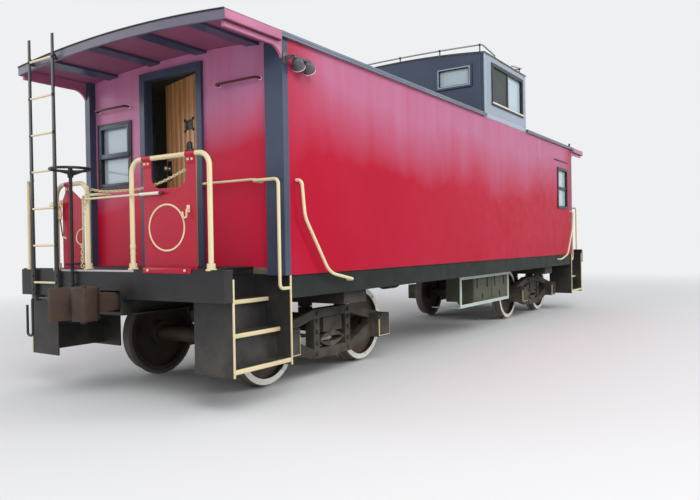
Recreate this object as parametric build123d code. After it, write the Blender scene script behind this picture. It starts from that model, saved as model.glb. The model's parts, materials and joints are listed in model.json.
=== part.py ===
from build123d import *
from math import cos, radians, sin
import os

# A four-axle railway caboose with a steel body, open end platforms and a cupola that is as wide
# as the body. Millimetres, +Z up, X along the car. The origin is on the floor under the middle
# of the car, at the height of the wheel flanges' lowest points. End A is at -X, end B at +X, and
# end B is end A turned half round. The right side is the one at -Y.

os.makedirs("parts", exist_ok=True)

cut_margin = 1              # a cutting block reaches this far past what it cuts

# Wheels and trucks
wheel_radius = 419          # at the tread
flange_height = 26          # how far the flange stands past the tread
flange_width = 34           # along the axle, at its foot
tread_taper = 4             # the tread's outer edge is this much smaller in radius
wheel_back_gap = 1352       # between the inner faces of the two wheels on an axle
wheel_width = 140
rim_depth = 62              # from the tread in to the plate
plate_thickness = 28
hub_radius = 128
hub_length = 175
axle_radius = 78
journal_radius = 62
journal_length = 215
journal_gap = 6             # around the journal, inside its box
journal_lid = 22
wheelbase = 1676            # between the two axles of a truck
truck_centres = 6500        # between the two swivel points
side_frame_thickness = 110
side_frame_gap = 72         # from the wheel's outer face to the side frame
journal_box_width = 236
journal_box_height = 262
frame_bar = 92              # height of the side frame's top and bottom members
spring_opening = 470        # between the frame's two columns
frame_depth = 232           # how far the frame's bottom member hangs under the axle line
frame_height = 270          # how far its top member stands over the axle line
truck_bolster_width = 330
truck_bolster_height = 150
truck_bolster_gap = 6       # from the bolster's ends up to the frame's top member
bowl_radius = 190
leaf_pack = 42              # thickness of one half of an elliptic spring
leaf_spring_width = 100
spring_end_gap = 20
brake_beam_size = 70
brake_shoe_gap = 9          # from the tread to the shoe
brake_shoe_thickness = 44
brake_shoe_height = 300
brake_shoe_width = 84
brake_shoe_inset = 16       # from the wheel's outer face in to the shoe
shoe_seat = 8               # how deep the beam reaches into the shoe's back

# Body shell
body_length = 8842          # over the end walls
body_width = 2784           # over the side walls
wall = 70                   # whole thickness of a side, end or cupola wall
deck_height = 1150          # top of floor and platforms above the rail
floor_thickness = 60
side_height = 2000          # from the deck to the eaves
sheet_lap = 67              # the side wall reaches this far under the deck
side_sill_depth = 205
side_sill_flange = 85
sill_inset = 18             # the side sill's face stands back this far under the side wall
plate = 12                  # thickness of sills, straps and brackets made of plate
roof_rise = 72
roof_thickness = 34
roof_side_overhang = 32
corner_post_width = 205     # on end A's right corner and end B's left one
narrow_post_width = 80      # on the other two corners
corner_post_depth = 76

# Underframe
centre_sill_gap = 330       # over the two webs
centre_sill_depth = 330
centre_sill_flange = 75
body_bolster_width = 420
bolster_cover = 16          # the bolster's bottom plate, under the centre sill
crossbearer_width = 110
crossbearer_depth = 190
crossbearer_step = 1300
centre_plate_radius = 165
centre_plate_depth = 60
swivel_gap = 6              # between what turns with a truck and what stays with the body
bearing_size = 110          # a side bearing's block
bearing_offset = 635        # from the car's middle

# Ends
platform_length = 829       # from the end wall to the outer face of the end sill
end_sill_width = 100
end_sill_depth = 250
striker_wall = 30
stair_depth = 442           # from the car's side in to the top riser
stair_run = 130             # each riser stands this far out from the one above
stair_rise = 263
tread_depth = 190
tread_thickness = 30
stair_count = 3
stair_end_plate = 12
stair_skirt = 30            # the end plates reach this far under the lowest tread

# Canopy
canopy_reach = 779          # from the end wall to the roof's edge
fascia_depth = 88
fascia_thickness = 26
canopy_side_depth = 96
gusset_drop = 92
gusset_reach = 120
carline_width = 150
carline_depth = 26
carline_count = 4

# Doors
door_middle = 95            # the doorway stands this far off the car's middle line
doorway_width = 750
doorway_height = 1900
door_frame_width = 72
door_frame_proud = 32       # how far the frame stands out of the end wall
door_thickness = 45
door_gap = 8
door_ajar = 16              # degrees, how far door A stands open at rest
door_knob_inset = 85
door_knob_height = 995
door_knob_radius = 14
door_knob_reach = 55

# Windows
side_window_width = 592
side_window_height = 722
side_window_sill = 826      # above the deck
side_window_inset = 277     # from the end of the body to the window
end_window_width = 504
end_window_height = 653
end_window_sill = 855       # above the deck
end_window_inset = 156      # from the car's side to the window
cupola_window_width = 1285
cupola_window_height = 570
cupola_window_sill = 228    # above the body's eaves
cupola_window_inset = 165   # from the cupola's end B wall to the window
lookout_width = 525         # the small windows in the cupola's end walls
lookout_height = 285
lookout_sill = 477          # above the body's eaves
lookout_inset = 212         # from the car's side to the window
window_frame_width = 26
window_frame_proud = 16
sash_thickness = 30
sash_bar = 26
meeting_rail = 54           # the bar across or upright in the middle of a sash
glass_thickness = 8

# Cupola
cupola_start = 55           # its wall towards end A, from the middle of the car
cupola_end = 1796           # its wall towards end B
cupola_height = 905         # above the body's eaves
cupola_roof_rise = 75
cupola_roof_thickness = 18
cupola_roof_overhang = 14
cupola_rail_height = 115    # over the roof's edge, at the corners
cupola_rail_rise = 30       # and this much more in the middle
cupola_rail_return = 480    # each rail's ends run this far back along the roof's sides
cupola_rail_drop = 55       # and slope down by this much before they turn to the roof
cupola_rail_bend = 25
cupola_rail_radius = 13
cupola_rail_inset = 40

# Railings, gate bars, ladders, hand brakes and handholds
tube_radius = 21
railing_inset = 50          # the railing stands this far in from the end sill's outer face
wide_loop_inset = 182       # from the car's side in to the loop's outer leg
wide_loop_inner = 262
wide_loop_height = 950      # above the deck
narrow_loop_inner = 368
narrow_loop_outer = 852
narrow_loop_height = 805
loop_bend = 115
panel_thickness = 6
panel_margin = 158          # from the wide loop's legs to its panel
panel_ear = 100             # width of the two straps that carry the wide panel
panel_notch_depth = 262     # between them, from the middle of the loop's top tube
panel_notch_corner = 110
narrow_panel_margin = 96    # from the narrow loop's legs to its panel
panel_shoulder_height = 654 # above the deck, where the narrow panel starts to draw in
panel_neck_height = 745     # above the deck, where its neck begins
panel_neck_width = 100
panel_neck_offset = 40      # the neck stands this far off the panel's middle, outwards
socket_radius = 34
socket_height = 60
gate_bar_radius = 10
gate_bar_height = 650       # above the deck
gate_latch_length = 437     # the bar reaches this far past the wide loop's inner leg
gate_tip_length = 51        # bare end of the bar, past its sleeve
gate_sleeve_length = 242
gate_sleeve_radius = 14
ladder_inset = 218          # from the car's side in to the ladder
ladder_width = 385          # between the middles of its bars
ladder_bar_width = 64
ladder_bar_thickness = 14
ladder_gap = 14             # between the end sill's face and the ladder's bars
ladder_above_eaves = 236
rung_radius = 11
rung_step = 357
rung_count = 7
first_rung_height = 125     # above the ladder's foot
ladder_grab_radius = 15
ladder_grab_height = 874    # above the deck
ladder_grab_gap = 98        # from the ladder's outer bar to the grab
ladder_grab_inset = 15      # from the end sill's outer face
ladder_grab_bend = 30
lever_inset = 142           # from the car's side in to the free leg of its handle
lever_radius = 12
lever_bend = 35
lever_gap = 14              # from the end sill's underside down to the lever
lever_inner = 240           # from the car's middle
lever_hook = 90             # its inner end hangs this far down
lever_handle_width = 88
lever_handle_length = 374
lever_handle_return = 74    # its free leg ends this far under the lever
lever_bracket_step = 90     # from each bend to the bracket beside it
lever_stand = 34            # from the end sill's face
brake_staff_radius = 16
brake_staff_offset = 505    # from the car's middle line
brake_wheel_radius = 190
brake_wheel_rim = 13
brake_wheel_height = 930    # above the deck
brake_wheel_spokes = 5
brake_stay_drop = 60        # the stay leaves the staff this far under the wheel
brake_stay_rise = 185        # and meets the corner post this much higher
brake_stay_radius = 9
handrail_radius = 15
handrail_bend = 45
handrail_stand = 62         # how far a handrail stands off the wall that carries it
handrail_top = 770          # above the deck
handrail_foot = 178         # under the deck
handrail_start_inset = 311  # from the car's side in to its upper end, on the end wall
side_rail_start = 91        # from the body's end to the upper end of the rail on the side
side_rail_knee = 131        # from the body's end to where it leaves the upright
side_rail_knee_height = 444 # above the deck
side_rail_turn = 491        # from the body's end to where it levels out
side_rail_turn_depth = 66   # under the deck
side_rail_end = 901         # from the body's end to its foot on the side sill
side_rail_foot = 148        # under the deck
side_rail_sweep = 250       # radius of its two wide bends
grab_length = 500
grab_radius = 12
grab_bend = 30
grab_from_door = 230
end_grab_height = 1670      # above the deck
low_grab_length = 640
low_grab_from_door = 38
low_grab_height = 790

# Couplers
coupler_height = 876        # its middle above the rail
coupler_reach = 400         # from the end sill's face to the pulling face
coupler_shank_width = 130
coupler_shank_height = 160
coupler_head_width = 330
coupler_head_height = 280
coupler_head_length = 250
coupler_horn = 90           # the guard arm reaches this far past the pulling face
coupler_pivot_inset = 520   # the draft pin is this far in from the end sill's face
coupler_swing_room = 72     # each side of the shank in the end sill's mouth
coupler_lift_room = 12      # over and under the shank
knuckle_pin_radius = 24
knuckle_pin_head = 20

# Things hung under the floor
box_inset = 212             # from the car's side in to the face of the tool box
tool_box_start = 30
tool_box_length = 1370
tool_box_height = 350
tool_box_depth = 430
tool_box_drop = 60          # its top under the side sill
cradle_start = -440
cradle_bar = 46
tank_gap = 14               # from the crossbearers down to the tanks
reservoir_radius = 190
reservoir_length = 1000
reservoir_middle = -650
reservoir_offset = 760
brake_cylinder_radius = 150
brake_cylinder_length = 420
brake_cylinder_middle = 720
brake_cylinder_offset = 640

# Lamps on the corners
lamp_radius = 56
lamp_length = 110
lamp_spacing = 150
lamp_height = 1805          # above the deck
lamp_stand = 62
lamp_tilt = 128             # degrees from straight up, so that the lamps look a little down
lamp_turn = 54              # degrees from straight out, towards the middle of the car
lamp_inset = 105            # from the end of the body

# Worked out from the sizes above
rail_z = flange_height
axle_z = rail_z + wheel_radius
deck_z = rail_z + deck_height
eave_z = deck_z + side_height
floor_z = deck_z - floor_thickness
sheet_z = deck_z - sheet_lap
sill_z = sheet_z - side_sill_depth
half_length = body_length / 2
half_width = body_width / 2
inner_half_width = half_width - wall
top_half_width = half_width + roof_side_overhang
sill_inner = half_width - sill_inset - side_sill_flange
roof_end = -half_length - canopy_reach
end_x = -half_length - platform_length
end_inner_x = end_x + end_sill_width
stair_low_z = deck_z - stair_count * stair_rise - tread_thickness - stair_skirt
railing_x = end_x + railing_inset
post_face = -half_length - corner_post_depth
grab_x = -half_length - handrail_stand
half_sill = centre_sill_gap / 2
stair_inner = half_width - stair_depth
box_face = half_width - box_inset
wide_loop_outer = half_width - wide_loop_inset
ladder_outer = half_width - ladder_inset - ladder_bar_width / 2
ladder_inner = ladder_outer - ladder_width
side_window_middle = half_length - side_window_inset - side_window_width / 2
end_window_middle = half_width - end_window_inset - end_window_width / 2
cupola_window_middle = cupola_end - cupola_window_inset - cupola_window_width / 2
lookout_middle = half_width - lookout_inset - lookout_width / 2
centre_sill_z = floor_z - centre_sill_depth
bowl_z = centre_sill_z - bolster_cover - centre_plate_depth - swivel_gap
wheel_back = wheel_back_gap / 2
wheel_face = wheel_back + wheel_width
flange_foot = wheel_back + flange_width
frame_inner = wheel_face + side_frame_gap
frame_outer = frame_inner + side_frame_thickness
journal_end = frame_inner + journal_length
truck_bolster_top = axle_z + frame_height - frame_bar - truck_bolster_gap
truck_bolster_z = truck_bolster_top - truck_bolster_height
truck_x = truck_centres / 2
coupler_z = rail_z + coupler_height
cupola_eave_z = eave_z + cupola_height
tool_box_top = sill_z - tool_box_drop
tank_top = floor_z - crossbearer_depth - tank_gap


def block(x0, x1, y0, y1, z0, z1):
    middle = Pos((x0 + x1) / 2, (y0 + y1) / 2, (z0 + z1) / 2)
    return middle * Box(abs(x1 - x0), abs(y1 - y0), abs(z1 - z0))


def both_sides(shape):
    return shape + mirror(shape, about=Plane.XZ)


def turned(shape):
    return Rot(0, 0, 180) * shape


def rod(start, end, radius):
    path = Line(start, end)
    return sweep(Plane(origin=start, z_dir=path % 0) * Circle(radius), path=path)


def bent_rod(points, radius, bend):
    path = FilletPolyline(*points, radius=bend)
    return sweep(Plane(origin=points[0], z_dir=path % 0) * Circle(radius), path=path)


def along_car(outline, start, length):
    return Pos(start, 0, 0) * extrude(Plane.YZ * make_face(outline), amount=length)


def band(half, low, high, rise, start, length):
    """A strip of even depth whose top and bottom both bow up by the rise."""
    outline = (ThreePointArc((half, high), (0, high + rise), (-half, high))
               + Line((-half, high), (-half, low))
               + ThreePointArc((-half, low), (0, low + rise), (half, low))
               + Line((half, low), (half, high)))
    return along_car(outline, start, length)


def arched(half, low, rise, thickness, seat, start, length):
    """A bowed roof, flat underneath where it lies on the side walls."""
    top = low + thickness
    outline = (ThreePointArc((half, top), (0, top + rise), (-half, top))
               + Polyline((-half, top), (-half, low), (-seat, low))
               + ThreePointArc((-seat, low), (0, low + rise), (seat, low))
               + Polyline((seat, low), (half, low), (half, top)))
    return along_car(outline, start, length)


def arched_wall(half, low, eave, rise, start, thickness):
    """A cross wall whose top follows the ceiling."""
    outline = (ThreePointArc((half, eave), (0, eave + rise), (-half, eave))
               + Polyline((-half, eave), (-half, low), (half, low), (half, eave)))
    return along_car(outline, start, thickness)


def save(name, shape):
    export_step(Compound(children=list(shape.solids())), f"parts/{name}.step")


# Trucks, drawn around their own swivel line

def wheelset():
    web_middle = wheel_back + wheel_width / 2
    half_plate = plate_thickness / 2
    rim_inner = wheel_radius - rim_depth
    hub_start = web_middle - hub_length / 2
    hub_end = web_middle + hub_length / 2
    flange_radius = wheel_radius + flange_height
    flange_side = flange_height * 0.3
    half = Polyline(
        (0, 0), (axle_radius, 0), (axle_radius, hub_start), (hub_radius, hub_start),
        (hub_radius, web_middle - half_plate), (rim_inner, web_middle - half_plate),
        (rim_inner, wheel_back), (wheel_radius, wheel_back),
        (flange_radius, wheel_back + flange_side), (flange_radius, flange_foot - 2 * flange_side),
        (wheel_radius, flange_foot), (wheel_radius - tread_taper, wheel_face),
        (rim_inner, wheel_face), (rim_inner, web_middle + half_plate),
        (hub_radius, web_middle + half_plate), (hub_radius, hub_end), (journal_radius, hub_end),
        (journal_radius, journal_end), (0, journal_end), close=True,
    )
    return Pos(0, 0, axle_z) * both_sides(revolve(make_face(half), Axis.Y))


def side_frame():
    """A cast side frame: two journal boxes, a bowed top and bottom member and two columns."""
    axle_x = wheelbase / 2
    box_half = journal_box_width / 2
    box_top = journal_box_height / 2
    column = spring_opening / 2 + frame_bar
    shape = make_face(Polyline(
        (-axle_x - box_half, box_top), (-column, frame_height), (column, frame_height),
        (axle_x + box_half, box_top), (axle_x + box_half, -box_top), (axle_x - box_half, -box_top),
        (column, -frame_depth), (-column, -frame_depth), (-axle_x + box_half, -box_top),
        (-axle_x - box_half, -box_top), close=True,
    ))
    spring_hole = Pos(0, (frame_height - frame_depth) / 2) * Rectangle(
        spring_opening, frame_height + frame_depth - 2 * frame_bar)
    side_hole = make_face(Polyline(
        (column, frame_height - frame_bar), (axle_x - box_half, box_top - frame_bar / 2),
        (axle_x - box_half, frame_bar / 4), (column, -frame_depth + frame_bar), close=True,
    ))
    shape -= spring_hole
    shape -= side_hole
    shape -= mirror(side_hole, about=Plane.YZ)
    frame = Pos(0, frame_outer, axle_z) * extrude(Plane.XZ * shape, amount=side_frame_thickness)
    for x in (-axle_x, axle_x):
        frame += block(x - box_half, x + box_half, frame_inner, journal_end + journal_lid,
                       axle_z - box_top, axle_z + box_top)
    for x in (-axle_x, axle_x):
        bore = Pos(x, frame_inner, axle_z) * Rot(-90, 0, 0) * Cylinder(
            journal_radius + journal_gap, journal_length + journal_gap,
            align=(Align.CENTER, Align.CENTER, Align.MIN))
        frame -= bore
    return frame


def truck_bolster():
    beam = block(-truck_bolster_width / 2, truck_bolster_width / 2, -frame_outer, frame_outer,
                 truck_bolster_z, truck_bolster_top)
    bowl = Pos(0, 0, truck_bolster_top) * Cylinder(
        bowl_radius, bowl_z - truck_bolster_top, align=(Align.CENTER, Align.CENTER, Align.MIN))
    pad = block(-bearing_size / 2, bearing_size / 2, bearing_offset - bearing_size / 2,
                bearing_offset + bearing_size / 2, truck_bolster_top, bowl_z)
    return beam + bowl + both_sides(pad)


def leaf_spring():
    """One full elliptic spring between the frame's bottom member and the bolster."""
    low = axle_z - frame_depth + frame_bar
    reach = spring_opening / 2 - spring_end_gap
    middle = (low + truck_bolster_z) / 2
    outer_height = (truck_bolster_z - low) / 2
    ring = lens(reach, outer_height) - lens(reach - leaf_pack, outer_height - leaf_pack)
    far_face = (frame_inner + frame_outer + leaf_spring_width) / 2
    return Pos(0, far_face, middle) * extrude(Plane.XZ * ring, amount=leaf_spring_width)


def lens(reach, height):
    return make_face(
        ThreePointArc((-reach, 0), (0, height), (reach, 0))
        + ThreePointArc((reach, 0), (0, -height), (-reach, 0))
    )


def brake_beams():
    """Two cross beams with a shoe before each wheel, hung from the side frames."""
    rigging = []
    shoe_middle = wheel_face - brake_shoe_width / 2 - brake_shoe_inset
    shoe_face = wheel_radius + brake_shoe_gap
    for sign in (-1, 1):
        wheel_x = sign * wheelbase / 2
        beam_x = wheel_x - sign * (shoe_face + brake_shoe_thickness + brake_beam_size / 2 - shoe_seat)
        beam = block(beam_x - brake_beam_size / 2, beam_x + brake_beam_size / 2,
                     -shoe_middle, shoe_middle,
                     axle_z - brake_beam_size / 2, axle_z + brake_beam_size / 2)
        drum = Pos(wheel_x, 0, axle_z) * Rot(90, 0, 0)
        ring = drum * Cylinder(shoe_face + brake_shoe_thickness, 2 * wheel_face)
        ring -= drum * Cylinder(shoe_face, 2 * wheel_face)
        window = block(wheel_x, beam_x - sign * brake_beam_size,
                       shoe_middle - brake_shoe_width / 2, shoe_middle + brake_shoe_width / 2,
                       axle_z - brake_shoe_height / 2, axle_z + brake_shoe_height / 2)
        hanger = block(beam_x - brake_beam_size / 4, beam_x + brake_beam_size / 4,
                       shoe_middle - brake_beam_size, frame_inner,
                       axle_z - brake_beam_size / 4, axle_z + brake_beam_size / 4)
        rigging.append(beam + (ring & both_sides(window)) + both_sides(hanger))
    return rigging[0] + rigging[1]


# Underframe

def centre_sill():
    """Two channels, back to back with a gap, from end sill to end sill."""
    web = block(end_inner_x, -end_inner_x, half_sill - plate, half_sill,
                centre_sill_z, floor_z)
    reach = half_sill + centre_sill_flange
    top = block(end_inner_x, -end_inner_x, half_sill, reach, floor_z - plate, floor_z)
    bottom = block(end_inner_x, -end_inner_x, half_sill, reach,
                   centre_sill_z, centre_sill_z + plate)
    return both_sides(web + top + bottom)


def side_sill():
    """The channel under the side wall at -Y, open towards the car's middle."""
    face = half_width - sill_inset
    web = block(-half_length, half_length, -face, -face + plate, sill_z, sheet_z)
    inner = -face + side_sill_flange
    top = block(-half_length, half_length, -face, inner, sheet_z - plate, sheet_z)
    bottom = block(-half_length, half_length, -face, inner, sill_z, sill_z + plate)
    return web + top + bottom


def body_bolsters():
    """Boxes over the trucks, with the centre plate and the side bearings under them."""
    bolsters = Part()
    low = centre_sill_z - bolster_cover
    for x in (-truck_x, truck_x):
        bolster = block(x - body_bolster_width / 2, x + body_bolster_width / 2,
                        -sill_inner, sill_inner, low, floor_z)
        bolster += Pos(x, 0, bowl_z + swivel_gap) * Cylinder(
            centre_plate_radius, low - bowl_z - swivel_gap,
            align=(Align.CENTER, Align.CENTER, Align.MIN))
        pad = block(x - bearing_size / 2, x + bearing_size / 2, bearing_offset - bearing_size / 2,
                    bearing_offset + bearing_size / 2, bowl_z + swivel_gap, low)
        bolsters += bolster + both_sides(pad)
    return bolsters - centre_sill()


def crossbearers():
    """Cross beams between the centre sill and the side sills, one of them under each end wall."""
    bearers = Part()
    low = floor_z - crossbearer_depth
    end_beam = half_length - crossbearer_width / 2
    for x in (-end_beam, -crossbearer_step, 0, crossbearer_step, end_beam):
        beam = block(x - crossbearer_width / 2, x + crossbearer_width / 2,
                     half_sill, sill_inner, low, floor_z)
        bearers += both_sides(beam)
    return bearers - centre_sill()


def floor():
    return block(-half_length, half_length, -inner_half_width, inner_half_width, floor_z, deck_z)


# Body

def side_wall():
    """The side at -Y, with its window near end B."""
    sheet = block(-half_length, half_length, -half_width, -inner_half_width, sheet_z, eave_z)
    low = deck_z + side_window_sill
    hole = block(side_window_middle - side_window_width / 2, side_window_middle + side_window_width / 2,
                 -half_width - cut_margin, -inner_half_width + cut_margin,
                 low, low + side_window_height)
    return sheet - hole


def end_wall():
    """The end wall at end A, with its doorway and one window."""
    panel = arched_wall(inner_half_width, deck_z, eave_z, roof_rise, -half_length, wall)
    outside = -half_length - cut_margin
    inside = -half_length + wall + cut_margin
    door = block(outside, inside, door_middle - doorway_width / 2,
                 door_middle + doorway_width / 2, deck_z - cut_margin, deck_z + doorway_height)
    low = deck_z + end_window_sill
    window = block(outside, inside,
                   end_window_middle - end_window_width / 2, end_window_middle + end_window_width / 2,
                   low, low + end_window_height)
    return panel - door - window


def corner_posts():
    """Posts at the two corners of end A."""
    wide = block(post_face, -half_length, -half_width, corner_post_width - half_width,
                 sheet_z, eave_z)
    narrow = block(post_face, -half_length, half_width - narrow_post_width, half_width,
                   sheet_z, eave_z)
    return wide + narrow


def canopy_arch():
    """The bowed board across the roof's edge at end A."""
    roof_top = eave_z + roof_thickness
    return band(top_half_width, roof_top - fascia_depth, roof_top, roof_rise,
                roof_end - fascia_thickness, fascia_thickness)


def canopy_side():
    """The plate under the roof's edge beside platform A, curving down to the corner post."""
    side_low = eave_z - canopy_side_depth
    gusset_start = post_face - gusset_reach
    side = make_face(
        Polyline((post_face, side_low - gusset_drop), (post_face, eave_z), (roof_end, eave_z),
                 (roof_end, side_low), (gusset_start, side_low))
        + RadiusArc((gusset_start, side_low), (post_face, side_low - gusset_drop), gusset_reach * 1.3)
    )
    return both_sides(Pos(0, half_width, 0) * extrude(Plane.XZ * side, amount=fascia_thickness))


def carlines():
    """Flat strips along the ceiling over platform A."""
    strips = band(inner_half_width, eave_z - carline_depth, eave_z, roof_rise,
                  roof_end, -half_length - roof_end)
    spacing = 2 * inner_half_width / carline_count
    kept = Part()
    for index in range(carline_count):
        y = (index - (carline_count - 1) / 2) * spacing
        kept += strips & block(roof_end, -half_length, y - carline_width / 2, y + carline_width / 2,
                               eave_z - fascia_depth, eave_z + 2 * roof_rise)
    return kept


def cupola_side():
    panel = block(cupola_start, cupola_end, -half_width, -inner_half_width, eave_z, cupola_eave_z)
    low = eave_z + cupola_window_sill
    hole = block(cupola_window_middle - cupola_window_width / 2,
                 cupola_window_middle + cupola_window_width / 2,
                 -half_width - cut_margin, -inner_half_width + cut_margin,
                 low, low + cupola_window_height)
    return panel - hole


def cupola_end_wall(start):
    panel = arched_wall(inner_half_width, eave_z, cupola_eave_z, cupola_roof_rise, start, wall)
    low = eave_z + lookout_sill
    hole = block(start - cut_margin, start + wall + cut_margin, lookout_middle - lookout_width / 2,
                 lookout_middle + lookout_width / 2, low, low + lookout_height)
    return panel - both_sides(hole)


def cupola_roof():
    return arched(half_width + cupola_roof_overhang, cupola_eave_z, cupola_roof_rise,
                  cupola_roof_thickness, inner_half_width, cupola_start - cupola_roof_overhang,
                  cupola_end - cupola_start + 2 * cupola_roof_overhang)


def cupola_rails():
    """A pipe over the cupola roof's edge at each end of it, on posts, with ends that run back."""
    rails = Part()
    half = half_width - cupola_rail_inset
    roof_top = cupola_eave_z + cupola_roof_thickness
    ends = roof_top + cupola_rail_height
    low = ends - cupola_rail_drop
    radius = cupola_rail_radius
    for x, inward in ((cupola_start + cupola_rail_inset, 1), (cupola_end - cupola_rail_inset, -1)):
        arc = ThreePointArc((x, -half, ends), (x, 0, ends + cupola_rail_rise), (x, half, ends))
        rail = sweep(Plane(origin=arc @ 0, z_dir=arc % 0) * Circle(radius), path=arc)
        for share in (-1, -0.5, 0, 0.5, 1):
            y = share * (half - radius)
            foot = roof_top + cupola_roof_rise * (1 - share ** 2) - radius / 2
            top = ends + cupola_rail_rise * (1 - share ** 2)
            rail += block(x - radius, x + radius, y - radius, y + radius, foot, top)
        back = x + inward * cupola_rail_return
        for y in (-half, half):
            rail += bent_rod([(x, y, ends), (back, y, low), (back, y, roof_top)],
                             radius, cupola_rail_bend)
        rails += rail
    return rails - cupola_roof()


# Windows: a window is drawn in its own plane and then set into a wall

def window_frame(width, height, across, upright):
    """A casing on the wall's face and a sash in the hole, with a bar across or upright."""
    clear = Rectangle(width - 2 * sash_bar, height - 2 * sash_bar)
    casing = Rectangle(width + 2 * window_frame_width, height + 2 * window_frame_width) - clear
    sash = Rectangle(width, height) - clear
    if across:
        sash += Rectangle(width - 2 * sash_bar, meeting_rail)
    if upright:
        sash += Rectangle(meeting_rail, height - 2 * sash_bar)
    return extrude(casing, amount=window_frame_proud) + extrude(sash, amount=-sash_thickness)


def window_pane(width, height):
    return Pos(0, 0, -sash_thickness) * extrude(Rectangle(width, height), amount=-glass_thickness)


def window_places():
    """Each kind of window: width, height, bar across, bar upright, and the planes it is set in."""
    side_z = deck_z + side_window_sill + side_window_height / 2
    end_z = deck_z + end_window_sill + end_window_height / 2
    cupola_z = eave_z + cupola_window_sill + cupola_window_height / 2
    lookout_z = eave_z + lookout_sill + lookout_height / 2
    right = {"x_dir": (1, 0, 0), "z_dir": (0, -1, 0)}
    left = {"x_dir": (-1, 0, 0), "z_dir": (0, 1, 0)}
    back = {"x_dir": (0, -1, 0), "z_dir": (-1, 0, 0)}
    front = {"x_dir": (0, 1, 0), "z_dir": (1, 0, 0)}
    side_windows = [
        Plane((side_window_middle, -half_width, side_z), **right),
        Plane((-side_window_middle, half_width, side_z), **left),
    ]
    end_windows = [
        Plane((-half_length, end_window_middle, end_z), **back),
        Plane((half_length, -end_window_middle, end_z), **front),
    ]
    cupola_windows = [
        Plane((cupola_window_middle, -half_width, cupola_z), **right),
        Plane((cupola_window_middle, half_width, cupola_z), **left),
    ]
    lookouts = []
    for y in (-lookout_middle, lookout_middle):
        lookouts.append(Plane((cupola_start, y, lookout_z), **back))
        lookouts.append(Plane((cupola_end, y, lookout_z), **front))
    return {
        "body_window": (side_window_width, side_window_height, True, False, side_windows),
        "end_window": (end_window_width, end_window_height, True, False, end_windows),
        "cupola_window": (cupola_window_width, cupola_window_height, False, True, cupola_windows),
        "lookout": (lookout_width, lookout_height, False, False, lookouts),
    }


# Doors: door A stands ajar, door B is shut

def door_frame():
    """A casing round doorway A, standing out of the end wall."""
    outer = block(-half_length - door_frame_proud, -half_length,
                  door_middle - doorway_width / 2 - door_frame_width,
                  door_middle + doorway_width / 2 + door_frame_width,
                  deck_z, deck_z + doorway_height + door_frame_width)
    inner = block(-half_length - door_frame_proud - cut_margin, -half_length + cut_margin,
                  door_middle - doorway_width / 2, door_middle + doorway_width / 2,
                  deck_z - cut_margin, deck_z + doorway_height)
    return outer - inner


def door_leaf(angle):
    """Door A with its handles, turned into the car by an angle about its hinge line."""
    inner_face = -half_length + wall
    width = doorway_width - 2 * door_gap
    leaf = block(-door_thickness, 0, 0, width, 0, doorway_height - 2 * door_gap)
    knob_y = width - door_knob_inset
    knobs = Pos(-door_thickness / 2, knob_y, door_knob_height) * Rot(0, 90, 0) * Cylinder(
        door_knob_radius, door_thickness + 2 * door_knob_reach)
    rose = Pos(-door_thickness / 2, knob_y, door_knob_height) * Rot(0, 90, 0) * Cylinder(
        2 * door_knob_radius, door_thickness + 2 * plate)
    leaf += knobs + rose
    hinge = Pos(inner_face, door_middle - doorway_width / 2 + door_gap, deck_z + door_gap)
    return hinge * Rot(0, 0, -angle) * leaf


# Ends, drawn as end A

def platform():
    """The deck over the couplers, its end sill with a notch for the coupler, and the striker."""
    deck = block(end_inner_x, -half_length, -stair_inner, stair_inner, floor_z, deck_z)
    sill = block(end_x, end_inner_x, -half_width, half_width, deck_z - end_sill_depth, deck_z)
    half_mouth = coupler_shank_width / 2 + coupler_swing_room
    mouth_top = coupler_z + coupler_shank_height / 2 + coupler_lift_room
    mouth_low = coupler_z - coupler_shank_height / 2 - coupler_lift_room
    striker = block(end_x, end_inner_x, -half_mouth - striker_wall, half_mouth + striker_wall,
                    mouth_low - striker_wall, deck_z - end_sill_depth + striker_wall)
    mouth = block(end_x - cut_margin, end_inner_x + cut_margin, -half_mouth, half_mouth,
                  mouth_low, mouth_top)
    return deck + (sill + striker - mouth)


def stairs():
    """The two step wells of end A: end plates, treads and risers between them."""
    well = Part()
    for x in (end_inner_x, -half_length - stair_end_plate):
        well += block(x, x + stair_end_plate, stair_inner, half_width, stair_low_z, sheet_z)
    for step in range(stair_count):
        tread_z = deck_z - (step + 1) * stair_rise
        back = stair_inner + step * stair_run
        front = min(back + tread_depth, half_width)
        well += block(end_inner_x, -half_length, back, front, tread_z - tread_thickness, tread_z)
        riser_top = min(tread_z + stair_rise, sheet_z)
        well += block(end_inner_x, -half_length, back, back + stair_end_plate, tread_z, riser_top)
    return both_sides(well)


def railing():
    """The wide loop at -Y and the narrow one at +Y, in sockets on the end sill."""
    rails = Part()
    loops = ((-wide_loop_outer, -wide_loop_inner, wide_loop_height),
             (narrow_loop_inner, narrow_loop_outer, narrow_loop_height))
    for left, right, height in loops:
        top = deck_z + height
        points = [(railing_x, left, deck_z), (railing_x, left, top),
                  (railing_x, right, top), (railing_x, right, deck_z)]
        rails += bent_rod(points, tube_radius, loop_bend)
        for y in (left, right):
            rails += Pos(railing_x, y, deck_z) * Cylinder(
                socket_radius, socket_height, align=(Align.CENTER, Align.CENTER, Align.MIN))
    return rails


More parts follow.
